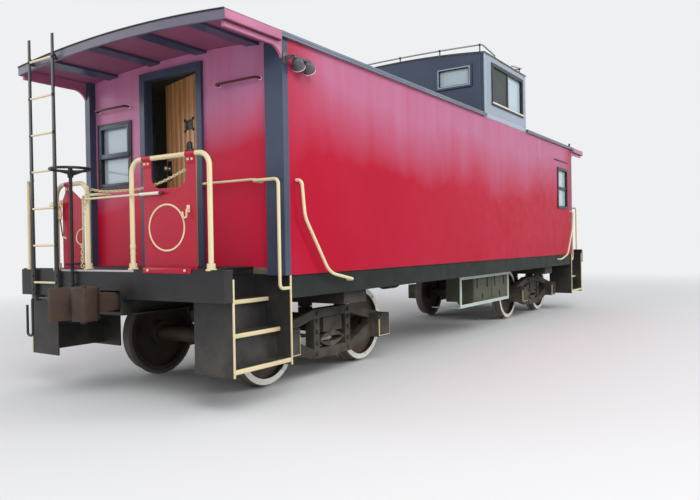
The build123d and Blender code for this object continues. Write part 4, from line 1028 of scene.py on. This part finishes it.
# %% [markdown]
# The gate bar is a plain rod with an eye at its hinge, a white sleeve that is pushed along it as a
# latch, and a maroon tip, and each of these has its own paint.
# %% Gate bars
gate_x, gate_z = rail_x - 0.031, deck + 0.650
rod_line = [(gate_x, narrow_inner - 0.015, gate_z), (gate_x, -0.43, gate_z)]
eye = primitive("torus", "eye", location=(rail_x - 0.004, narrow_inner, gate_z + 0.006), major_radius=0.026,
                minor_radius=0.0065, major_segments=24, minor_segments=8)
bar = joined("gate_rods", [tube("rod", rod_line, 0.0095), eye])
fitted(both_ends(bar), cream, instead_of=["gate_bars"])
white = painted("white_enamel", (0.80, 0.79, 0.74, 1), (0.66, 0.60, 0.48, 1), 0.4, wear=0.7)
highlight_white = painted("edge_highlight_enamel", (0.55, 0.50, 0.50, 1), (0.40, 0.30, 0.32, 1), 0.5, wear=0.9)
maroon = painted("maroon_enamel", (0.085, 0.010, 0.018, 1), (0.16, 0.03, 0.045, 1), 0.4, coat=0.1)
sleeve = cylinder("gate_sleeves", 24, 0.0135, 0.242, (gate_x, -0.527, gate_z), "Y")
fitted(both_ends(bevelled(sleeve, 0.003)), white, instead_of=["gate_bars"])
tip = cylinder("gate_tips", 20, 0.0115, 0.051, (gate_x, -0.6735, gate_z), "Y")
clip = block("gate_clip", (gate_x + 0.008, -0.665, gate_z - 0.010), (panel_face, -0.640, gate_z + 0.010),
             0.002)
both("gate_tips", [bevelled(tip, 0.004, 3), clip], maroon)

# %% [markdown]
# The handholds on the end walls are plain bent rods. The two high ones are maroon, and a pale cap
# covers the bolt at each foot. The low one beside the door was painted cream. A pale strip along the
# sill's top edge under them is a painted highlight.
# %% Handholds on the end walls
grab_x, low_z = -half_length - 0.070, deck + 0.790
high_grabs, caps = [], []
for first, second, high_z in ((0.734, 1.234, deck + 1.675), (-1.082, -0.582, deck + 1.700)):
    high_grabs.append(tube("grab", [(-half_length, first, high_z), (grab_x, first, high_z),
                                    (grab_x, second, high_z), (-half_length, second, high_z)], 0.012,
                           bend=0.030))
    for y in (first, second):
        cap = cylinder("cap", 20, 0.021, 0.012, (-half_length - 0.006, y, high_z), "X")
        caps.append(bevelled(cap, 0.004))
low_grab = tube("low_grabs", [(-half_length, -1.030, low_z), (grab_x, -1.030, low_z),
                              (grab_x, -0.390, low_z), (-half_length, -0.390, low_z)], 0.012, bend=0.030)
both("high_grabs", high_grabs, maroon, ["end_grabs"])
both("grab_caps", caps, white)
fitted(both_ends(low_grab), cream, instead_of=["end_grabs"])
# The pale strip along the sill's top edge is a painted highlight.
edge_highlight = slab("sill_edge_highlight", (sill_face - 0.002, -0.33, deck - 0.014), (sill_face, 0.85, deck + 0.004))
fitted(both_ends(bevelled(edge_highlight, 0.001, 1)), highlight_white)
print(2 * len(caps), "caps on handholds")

# %% [markdown]
# The roof's edge is trimmed along both sides: folded pale slate strip over the body, and a mauve
# board over the canopy that stands out past the plate under it. A thin dark strip under it is painted
# shade on its underside, and over the canopy's end the tarred canvas is rolled round the arch's top edge.
# %% Trim along the roof's edge
edge_y, trim_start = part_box("roof_long")[0].y, -half_length - 0.110
body_trim = []
for low_x, high_x in ((trim_start, cupola_box[0].x), (cupola_box[1].x, -trim_start)):
    strip = slab("strip", (low_x, edge_y - 0.005, eave - 0.012), (high_x, edge_y + 0.006, eave + 0.037))
    body_trim.append(bevelled(strip, 0.002))
    lip = slab("lip", (low_x, edge_y - 0.009, eave + 0.012), (high_x, edge_y, eave + 0.017))
    body_trim.append(bevelled(lip, 0.0015, 1))
across = Matrix.Scale(-1, 4, (0, 1, 0))
trim = joined("roof_trims", body_trim)
trim = joined("roof_trims", [trim, clean_normals(copied(trim, across, "trim_far"))])
fitted(trim, trim_slate)

edge_points = []
for step in range(17):
    y = edge_y * (1 - step / 8)
    edge_points.append((arch_face - 0.001, y, eave + 0.030 + 0.072 * (1 - (y / edge_y) ** 2)))
fitted(both_ends(tube("roof_laps", edge_points, 0.008)), black)

# Under each board lies a thin dark maroon strip: painted shade on the board's underside.
boards, underside_shades = [], []
for sign in (-1, 1):
    y0, y1 = mirrored(sign, half_width - 0.004, -edge_y + 0.005)
    boards.append(block("board", (arch_face + 0.004, y0, eave - 0.046),
                        (trim_start - 0.001, y1, eave + 0.028), 0.003))
    y0, y1 = mirrored(sign, half_width - 0.004, -edge_y + 0.002)
    underside_shades.append(slab("drip", (arch_face + 0.010, y0, eave - 0.054),
                      (trim_start - 0.006, y1, eave - 0.046)))
both("canopy_boards", boards, mauve)
both("canopy_underside_shades", underside_shades, maroon)
print("trim along", round(2 * (-trim_start), 2), "m of roof edge")

# %% [markdown]
# The corner lamps are spun sheet metal. A profile drawn once is spun round its axis: a closed back,
# a dome, and a rolled rim that carries a pale ring. The lens is a shallow dome inside the rim.
# %% Corner lamps
def spun(name, profile, steps=36):
    """Spins a profile of (radius, height) pairs round the Z axis."""
    mesh = bpy.data.meshes.new(name)
    mesh.from_pydata([(radius, 0, height) for radius, height in profile],
                     [(index, index + 1) for index in range(len(profile) - 1)], [])
    piece = bpy.data.objects.new(name, mesh)
    bpy.context.scene.collection.objects.link(piece)
    open_edit(piece)
    bpy.ops.mesh.spin(steps=steps, angle=2 * math.pi, center=(0, 0, 0), axis=(0, 0, 1))
    close_edit()
    return clean_normals(piece)


lamp_x, lamp_y, lamp_z = -half_length + 0.124, -half_width - 0.074, deck + 1.782
lamp_apart = 0.075
shell_profile = [(0.0, -0.056), (0.022, -0.053), (0.037, -0.043), (0.047, -0.024), (0.051, 0.0),
                 (0.053, 0.030), (0.057, 0.040), (0.057, 0.048), (0.052, 0.048), (0.049, 0.040),
                 (0.047, 0.026), (0.0, 0.022)]
rim_profile = [(0.0520, 0.0475), (0.0575, 0.0475), (0.0590, 0.0510), (0.0565, 0.0545), (0.0525, 0.0525),
               (0.0520, 0.0475)]
lens_profile = [(0.049, 0.040), (0.038, 0.048), (0.022, 0.053), (0.0, 0.055), (0.0, 0.032), (0.049, 0.032),
                (0.049, 0.040)]
lens_glass, tree, shader = new_finish("lamp_lens")
ribs = put(tree, "ShaderNodeTexWave", {"Vector": place_on(tree), "Scale": 60.0, "Distortion": 0.0})
fill(tree, shader, {"Base Color": (0.82, 0.79, 0.74, 1), "Transmission Weight": 0.5,
                    "Roughness": span(tree, noise(tree, place_on(tree), 30.0), 0.3, 0.7, 0.06, 0.16),
                    "Normal": bumped(tree, ribs.outputs["Fac"], 0.001, 0.6)})
lamp_turn = Matrix.Rotation(math.radians(111), 4, "Z") @ Matrix.Rotation(math.radians(130), 4, "X")
back = Vector((lamp_x, lamp_y, lamp_z)) + lamp_turn @ Vector((0, 0, -0.060))
lamp_grey = painted("lamp_grey_enamel", (0.085, 0.080, 0.090, 1), (0.150, 0.140, 0.150, 1), 0.4, coat=0.2)
for name, profile, finish in (("lamp_shells", shell_profile, lamp_grey), ("lamp_rims", rim_profile, white),
                              ("lamp_lenses", lens_profile, lens_glass)):
    part = spun(name + "_one", profile)
    pair = [copied(part, Matrix.Translation((lamp_x + sign * lamp_apart, lamp_y, lamp_z)) @ lamp_turn, name)
            for sign in (-1, 1)]
    bpy.data.objects.remove(part)
    if name == "lamp_shells":
        post_x = -half_length - 0.036
        for sign in (-1, 1):
            pair.append(primitive("uv_sphere", "knuckle", segments=16, ring_count=10, radius=0.018,
                                  location=back + Vector((sign * lamp_apart, 0, 0))))
        pair.append(block("cross_bar", (post_x - 0.014, back.y - 0.010, back.z - 0.010),
                          (back.x + lamp_apart, back.y + 0.010, back.z + 0.010), 0.004))
        pair.append(block("arm", (post_x - 0.014, back.y - 0.010, back.z - 0.014),
                          (post_x + 0.014, -half_width, back.z + 0.014), 0.004))
        pair.append(block("pad", (post_x - 0.032, -half_width - 0.008, back.z - 0.050),
                          (post_x + 0.032, -half_width, back.z + 0.050), 0.003))
    both(name, pair, finish, ["corner_lamps"])
print("lamps", round(2 * max(radius for radius, height in rim_profile), 3), "m across their rims")

# %% [markdown]
# Step wells are folded sheet steel. The treads have raised grip bars, and their front edges and the
# end plates' edges are painted cream, so that a foot finds them in the dark.
# %% Steps
stair_start, stair_end = sill_face + 0.10, -half_length
stair_depth, tread_rise, tread_run, tread_depth = 0.442, 0.263, 0.130, 0.190
grip_count, grip_pitch = 5, 0.026
nosings, grips = [], []
for step in range(3):
    top = deck - (step + 1) * tread_rise
    back = half_width - stair_depth + step * tread_run
    front = min(back + tread_depth, half_width)
    for sign in (-1, 1):
        low_y, high_y = mirrored(sign, front - 0.024, front + 0.003)
        nosing = slab("nosing", (stair_start + 0.014, low_y, top - 0.034),
                      (stair_end - 0.014, high_y, top + 0.004))
        nosings.append(bevelled(nosing, 0.008, 3))
        for bar in range(grip_count):
            y = back + 0.030 + bar * grip_pitch
            if y < front - 0.035:
                low_y, high_y = mirrored(sign, y - 0.005, y + 0.005)
                grip = slab("grip", (stair_start + 0.03, low_y, top),
                            (stair_end - 0.03, high_y, top + 0.005))
                grips.append(bevelled(grip, 0.002, 1))
stair_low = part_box("stairs")[0].z
for sign in (-1, 1):
    for x in (stair_start, stair_end - 0.012):
        low_y, high_y = mirrored(sign, half_width - 0.010, half_width + 0.003)
        edge = slab("edge", (x - 0.003, low_y, stair_low), (x + 0.015, high_y, deck - 0.067))
        nosings.append(bevelled(edge, 0.004))
both("step_edges", nosings, cream)
both("step_grips", grips, black)
print(2 * len(grips), "grip bars on the treads")

# %% [markdown]
# The platform is decked with boards across the car. Worn decking is never level, so the boards are
# separate slabs with gaps, each with its own tiny height, and their edges are well rounded.
# %% Platform boards
deck_boards = []
board_run = (-half_length - 0.006) - (sill_face + 0.012)
count = 8
for index in range(count):
    low_x = sill_face + 0.012 + index * board_run / count
    lift = 0.0012 * math.sin(index * 2.4)
    reach = half_width - 0.004 if low_x < sill_face + 0.09 else half_width - stair_depth + 0.012
    board = slab("deck_board", (low_x + 0.002, -reach, deck - 0.002),
                 (low_x + board_run / count - 0.002, reach, deck + 0.010 + lift))
    deck_boards.append(bevelled(board, 0.003))
deck_paint = painted("deck_black", (0.020, 0.020, 0.021, 1), (0.06, 0.055, 0.05, 1), 0.55, wear=0.8,
                     dust=0.1, worn=(0.16, 0.14, 0.12, 1))
both("deck_boards", deck_boards, deck_paint)
print(2 * count, "deck boards")

# %% [markdown]
# Castings have no sharp edges. A solid arrives as loose triangles, so its mesh is left alone: a
# copy is merged, its flat faces are dissolved into whole ones, and only then can its edges be
# bevelled. The copy stands for the solid in the picture.
# %% Castings with rounded edges
def softened(node, name, width, segments=3, angle=35):
    piece = copied(nodes[node], Matrix.Identity(4), name)
    piece.parent = None
    for key in list(piece.keys()):
        del piece[key]
    open_edit(piece)
    bpy.ops.mesh.remove_doubles(threshold=0.00005)
    bpy.ops.mesh.dissolve_limited(angle_limit=math.radians(1.5))
    close_edit()
    return bevelled(piece, width, segments, angle)


for end in ("a", "b"):
    fitted(softened(f"coupler_{end}", f"coupler_casting_{end}", 0.014), cast_steel, f"coupler_body_{end}",
           [f"coupler_{end}"])
    fitted(softened(f"truck_{end}_side_frames", f"truck_{end}_frame_castings", 0.012), underframe,
           f"truck_{end}", [f"truck_{end}_side_frames"])
print("castings with rounded edges:", 4)

# %% [markdown]
# An elliptic spring is a pile of steel leaves, each shorter than the one above it, bent to one
# curve and clamped in the middle by a band. One leaf is a long slab that is subdivided along its
# length and bowed by moving its points. The lower half of the spring is the upper one turned over.
# %% Leaf springs
spring_low, spring_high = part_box("truck_a_springs")
spring_half = (spring_high.x - spring_low.x) / 2
spring_middle = (spring_low.z + spring_high.z) / 2
spring_rise = (spring_high.z - spring_low.z) / 2
leaf_face = spring_high.y


def leaf(name, reach, lift, thickness, width):
    """A bowed leaf, its top at a lift over the spring's middle plane."""
    piece = slab(name, (-reach, -width / 2, -thickness), (reach, width / 2, 0))
    bevelled(piece, 0.002, 1)
    open_edit(piece)
    bpy.ops.mesh.subdivide(number_cuts=11, quadcorner="STRAIGHT_CUT")
    mesh = bmesh.from_edit_mesh(piece.data)
    for vertex in mesh.verts:
        vertex.co.z += lift - (vertex.co.x / spring_half) ** 2 * spring_rise * 0.94
    bmesh.update_edit_mesh(piece.data)
    close_edit()
    return piece


leaf_count, leaf_thickness_each = 5, 0.0085
half_pile = []
for index in range(leaf_count):
    reach = spring_half * (0.985 - 0.13 * index)
    half_pile.append(leaf("leaf", reach, spring_rise - index * (leaf_thickness_each + 0.0006),
                          leaf_thickness_each, 0.094))
upper = joined("upper_leaves", half_pile)
lower = copied(upper, Matrix.Rotation(math.pi, 4, "X"), "lower_leaves")
band_height = leaf_count * leaf_thickness_each + 0.012
band = [block("band", (-0.045, -0.056, sign * (spring_rise - band_height / 2) - band_height / 2),
              (0.045, 0.056, sign * (spring_rise - band_height / 2) + band_height / 2), 0.005)
        for sign in (-1, 1)]
eyes = [cylinder("spring_end", 16, 0.015, 0.10, (sign * (spring_half - 0.016), 0, 0), "Y")
        for sign in (-1, 1)]
spring = joined("leaf_spring", [upper, lower] + band + eyes)
truck_middle = 3.25
spring_steel = painted("spring_steel", (0.040, 0.032, 0.028, 1), (0.085, 0.05, 0.03, 1), 0.5,
                       worn=(0.16, 0.07, 0.03, 1), wear=0.8, dust=0.5)
for end, sign in (("a", -1), ("b", 1)):
    pair = [copied(spring, Matrix.Translation((sign * truck_middle, side * (leaf_face - 0.052),
                                               spring_middle)), "spring") for side in (-1, 1)]
    fitted(joined(f"truck_{end}_leaf_springs", pair), spring_steel, f"truck_{end}",
           [f"truck_{end}_springs"])
bpy.data.objects.remove(spring)
print("leaves in each spring:", 2 * leaf_count)

# %% [markdown]
# A journal box is closed by a lid that hinges at its top. The lid has a raised middle and a pale
# painted edge. It starts as a plate whose front face is inset and pushed out twice. Bolts hold the
# column castings and the brake hangers.
# %% Journal lids and truck bolts
lid_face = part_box("truck_a_side_frames")[1].y
axle_height = (wheel_low.z + wheel_high.z) / 2
half_wheelbase = 0.838


def journal_lid(x):
    lid = slab("lid", (x - 0.104, lid_face - 0.004, axle_height - 0.112),
               (x + 0.104, lid_face + 0.012, axle_height + 0.100))
    for inset, push in ((0.030, 0.0), (0.006, 0.008), (0.026, 0.0), (0.008, 0.007)):
        pick_faces(lid, lambda middle, normal: normal.y > 0.9 and abs(middle.x - x) < 0.004
                   and abs(middle.z - axle_height + 0.006) < 0.006)
        bpy.ops.mesh.inset(thickness=inset)
        bpy.ops.transform.translate(value=(0, push, 0))
        close_edit()
    bevelled(lid, 0.004)
    hinge = cylinder("lid_hinge", 16, 0.013, 0.12, (x, lid_face + 0.006, axle_height + 0.112), "X")
    ears = [block("lid_ear", (x + side * 0.072 - 0.010, lid_face - 0.006, axle_height + 0.096),
                  (x + side * 0.072 + 0.010, lid_face + 0.020, axle_height + 0.130), 0.004)
            for side in (-1, 1)]
    return [lid, hinge] + ears


frame_face = 0.998
for end, sign in (("a", -1), ("b", 1)):
    lids, marks = [], []
    for x in (-half_wheelbase, half_wheelbase):
        lids += journal_lid(x)
        for low, high in (((x - 0.112, axle_height - 0.122), (x + 0.112, axle_height - 0.110)),
                          ((x - 0.114, axle_height - 0.122), (x - 0.102, axle_height + 0.070)),
                          ((x + 0.102, axle_height - 0.122), (x + 0.114, axle_height + 0.070))):
            marks.append(block("edge", (low[0], lid_face - 0.012, low[1]),
                               (high[0], lid_face + 0.008, high[1]), 0.003))
    columns = [(side * (0.235 + 0.046), frame_face, axle_height + height) for side in (-1, 1)
               for height in (-0.185, -0.08, 0.04, 0.15, 0.225)]
    lids.append(bolts("column_bolts", columns, (0, 1, 0), 0.020, 0.018))
    one_side = joined("lids", lids)
    one_edge = joined("lid_edges", marks)
    other_side = copied(one_side, HALF_TURN, "lids_far")
    other_edge = copied(one_edge, HALF_TURN, "lid_edges_far")
    move = Matrix.Translation((sign * truck_middle, 0, 0))
    for name, pair, finish in (("lids_and_bolts", (one_side, other_side), underframe),
                               ("pale_lid_edges", (one_edge, other_edge), cream)):
        piece = joined(f"truck_{end}_{name}", pair)
        piece.data.transform(move)
        fitted(piece, finish, f"truck_{end}")
print("journal lids", 8)

# %% [markdown]
# The rails on the cupola's roof are grey pipe, bent a little to the roof's bow, with ends that run
# back along its sides, and black stanchions hold them with a clamp round the pipe. As solids they
# are one thing, but pipe and stanchion have their own colours, so both are modelled again.
# %% Cupola rails
roof_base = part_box("cupola_roof")[1].z - 0.075
pipe_z, pipe_rise, pipe_half = roof_base + 0.115, 0.030, half_width - 0.040
pipe_grey = painted("grey_pipe_paint", (0.42, 0.43, 0.44, 1), (0.30, 0.26, 0.22, 1), 0.42, wear=0.7)
pipes, stanchions = [], []
for x, inward in ((cupola_box[0].x + 0.040, 1), (cupola_box[1].x - 0.040, -1)):
    back = x + inward * 0.480
    bow = [(x, pipe_half * step / 8, pipe_z + pipe_rise * (1 - (step / 8) ** 2)) for step in range(-7, 8)]
    line = [(back, -pipe_half, roof_base), (back, -pipe_half, pipe_z - 0.055), (x, -pipe_half, pipe_z)]
    line += bow + [(x, pipe_half, pipe_z), (back, pipe_half, pipe_z - 0.055), (back, pipe_half, roof_base)]
    pipes.append(tube("pipe", line, 0.0125, bend=0.030))
    for share in (-0.97, -0.5, 0, 0.5, 0.97):
        y = share * pipe_half
        foot = roof_base + 0.075 * (1 - (y / (half_width + 0.014)) ** 2) - 0.004
        top = pipe_z + pipe_rise * (1 - share ** 2)
        post = cylinder("stanchion", 12, 0.009, top - foot, (x, y, (top + foot) / 2))
        clamp = cylinder("clamp", 18, 0.018, 0.024, (x, y, top), "Y")
        plate = block("post_foot", (x - 0.028, y - 0.028, foot), (x + 0.028, y + 0.028, foot + 0.008),
                      0.002)
        stanchions += [post, bevelled(clamp, 0.004), plate]
fitted(joined("cupola_pipes", pipes), pipe_grey, instead_of=["cupola_rails"])
fitted(joined("cupola_stanchions", stanchions), black, instead_of=["cupola_rails"])
print("cupola rails stand", round(pipe_z - roof_base, 3), "m over the roof's edge")

# %% [markdown]
# The windows' dark casings hold sashes of other colours: slate on the end walls, where the upper
# sash stands out past the lower one, and pale grey in the lookouts. A dark mesh screen covers the
# half of each cupola window that slides. Each sash is a rectangle whose single face is inset and
# then deleted in the middle, and the ring that is left gets its depth from extruding.
# %% Sashes
def sash(name, width, height, band_width, depth):
    """A flat rectangular ring round the origin, in the YZ plane, that stands towards -X."""
    plane = primitive("plane", name, size=1)
    plane.data.transform(Matrix.Diagonal((width, height, 1, 1)))
    pick_faces(plane, lambda middle, normal: True)
    bpy.ops.mesh.inset(thickness=band_width)
    bpy.ops.mesh.delete(type="FACE")
    bpy.ops.mesh.select_all(action="SELECT")
    bpy.ops.mesh.extrude_region_move(TRANSFORM_OT_translate={"value": (0, 0, depth)})
    close_edit()
    turn = Matrix(((0, 0, -1, 0), (-1, 0, 0, 0), (0, 1, 0, 0), (0, 0, 0, 1)))
    plane.data.transform(turn)
    return bevelled(clean_normals(plane), 0.003)


bright_slate = painted("bright_slate_enamel", (0.38, 0.43, 0.50, 1), (0.28, 0.34, 0.40, 1), 0.42, wear=0.5)
lookout_width, lookout_height = 0.525, 0.285
lookout_z = eave + 0.477 + lookout_height / 2
lookout_y = half_width - 0.212 - lookout_width / 2
for name, grow, band_width, depth, finish in (("lookout_casings", 0.026, 0.028, 0.023, slate),
                                              ("lookout_sashes", -0.002, 0.019, 0.019, bright_slate)):
    pattern = sash(name, lookout_width + 2 * grow, lookout_height + 2 * grow, band_width, depth)
    rings = []
    for y in (-lookout_y, lookout_y):
        rings.append(copied(pattern, Matrix.Translation((cupola_box[0].x, y, lookout_z)), name + "_near"))
        rings.append(copied(pattern, Matrix.Translation((cupola_box[1].x, y, lookout_z)) @ HALF_TURN,
                            name + "_far"))
    bpy.data.objects.remove(pattern)
    fitted(joined(name, rings), finish)

window_width, window_height, window_low = 0.504, 0.653, deck + 0.855
window_y, rail_low = half_width - 0.156 - window_width / 2, window_low + (window_height - 0.054) / 2
upper_height = window_low + window_height - rail_low
upper = sash("upper", window_width, upper_height, 0.034, 0.021)
upper.data.transform(Matrix.Translation((-half_length, window_y, rail_low + upper_height / 2)))
left, right = window_y - window_width / 2, window_y + window_width / 2
meeting = block("meeting_rail", (-half_length - 0.026, left, rail_low),
                (-half_length - 0.004, right, rail_low + 0.054), 0.004)
lower_rail = block("lower_rail", (-half_length - 0.018, left, window_low),
                   (-half_length - 0.004, right, window_low + 0.034), 0.004)
both("end_sashes", [upper, meeting, lower_rail], slate)

cupola_window_x = (cupola_box[1].x - 0.165 - 1.285, cupola_box[1].x - 0.165)
cupola_window_z = eave + 0.228
parts = []
for sign in (-1, 1):
    low_y, high_y = mirrored(sign, half_width + 0.002, half_width + 0.030)
    sill = slab("sill", (cupola_window_x[0] - 0.02, low_y, cupola_window_z - 0.004),
                (cupola_window_x[1] + 0.02, high_y, cupola_window_z + 0.018))
    parts.append(bevelled(sill, 0.005))
fitted(joined("cupola_sills", parts), white)

screens = []
for sign in (-1, 1):
    low_y, high_y = mirrored(sign, half_width - 0.012, half_width - 0.010)
    screens.append(slab("screen", (cupola_window_x[0] + 0.026, low_y, cupola_window_z + 0.026),
                        (sum(cupola_window_x) / 2 - 0.013, high_y, cupola_window_z + 0.544)))
screen = painted("screen_mesh", (0.020, 0.030, 0.028, 1), (0.060, 0.075, 0.070, 1), 0.45)
fitted(joined("window_screens", screens), screen)
print("a lookout is", lookout_width, "by", lookout_height, "m")

# %% [markdown]
# Thin flat trim finishes the cupola's corners and the joint with the roof under it, and a drip
# strip sheds rain over each side window.
# %% Corner trim, flashing and drip strips
cupola_top = cupola_box[1].z
parts = []
for sign in (-1, 1):
    low_y, high_y = mirrored(sign, half_width - 0.006, half_width + 0.005)
    for x, inward in ((cupola_box[0].x, 1), (cupola_box[1].x, -1)):
        low_x, high_x = sorted((x - inward * 0.005, x + inward * 0.038))
        parts.append(block("corner", (low_x, low_y, eave + 0.05), (high_x, high_y, cupola_top), 0.003))
    flashing = slab("flashing", (cupola_box[0].x - 0.02, low_y, eave - 0.012),
                    (cupola_box[1].x + 0.02, high_y, eave + 0.052))
    parts.append(bevelled(flashing, 0.003))
fitted(joined("cupola_trims", parts), bright_slate)
strip = slab("drip_strips", (3.36, -half_width - 0.016, 2.870), (4.19, -half_width, 2.892))
fitted(both_ends(bevelled(strip, 0.004)), maroon)
print("cupola corners", round(cupola_top - eave, 3), "m high")

# %% [markdown]
# The tool box under the side has two drop doors with strap hinges and a hasp each. Each door is a
# plate whose face is inset and pushed in, and its straps are thin bevelled slabs.
# %% Tool box doors
box_low, box_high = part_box("tool_box")
door_run = (box_high.x - box_low.x) / 2
parts, straps = [], []
for index in range(2):
    low_x, high_x = box_low.x + index * door_run + 0.02, box_low.x + (index + 1) * door_run - 0.02
    door = slab("box_door", (low_x, box_low.y - 0.006, box_low.z + 0.025),
                (high_x, box_low.y + 0.002, box_high.z - 0.025))
    pick_faces(door, lambda middle, normal: normal.y < -0.9)
    bpy.ops.mesh.inset(thickness=0.045)
    bpy.ops.transform.translate(value=(0, 0.004, 0))
    close_edit()
    parts.append(bevelled(door, 0.002))
    for share in (0.2, 0.8):
        x = low_x + share * (high_x - low_x)
        straps.append(block("strap", (x - 0.018, box_low.y - 0.011, box_high.z - 0.15),
                            (x + 0.018, box_low.y - 0.005, box_high.z - 0.02), 0.002))
        straps.append(cylinder("pin", 12, 0.009, 0.05, (x, box_low.y - 0.009, box_high.z - 0.018), "X"))
    middle_x = (low_x + high_x) / 2
    straps.append(block("hasp", (middle_x - 0.016, box_low.y - 0.014, box_low.z + 0.035),
                        (middle_x + 0.016, box_low.y - 0.004, box_low.z + 0.115), 0.003))
fitted(joined("tool_box_doors", parts), olive)
fitted(joined("tool_box_straps", straps), iron)
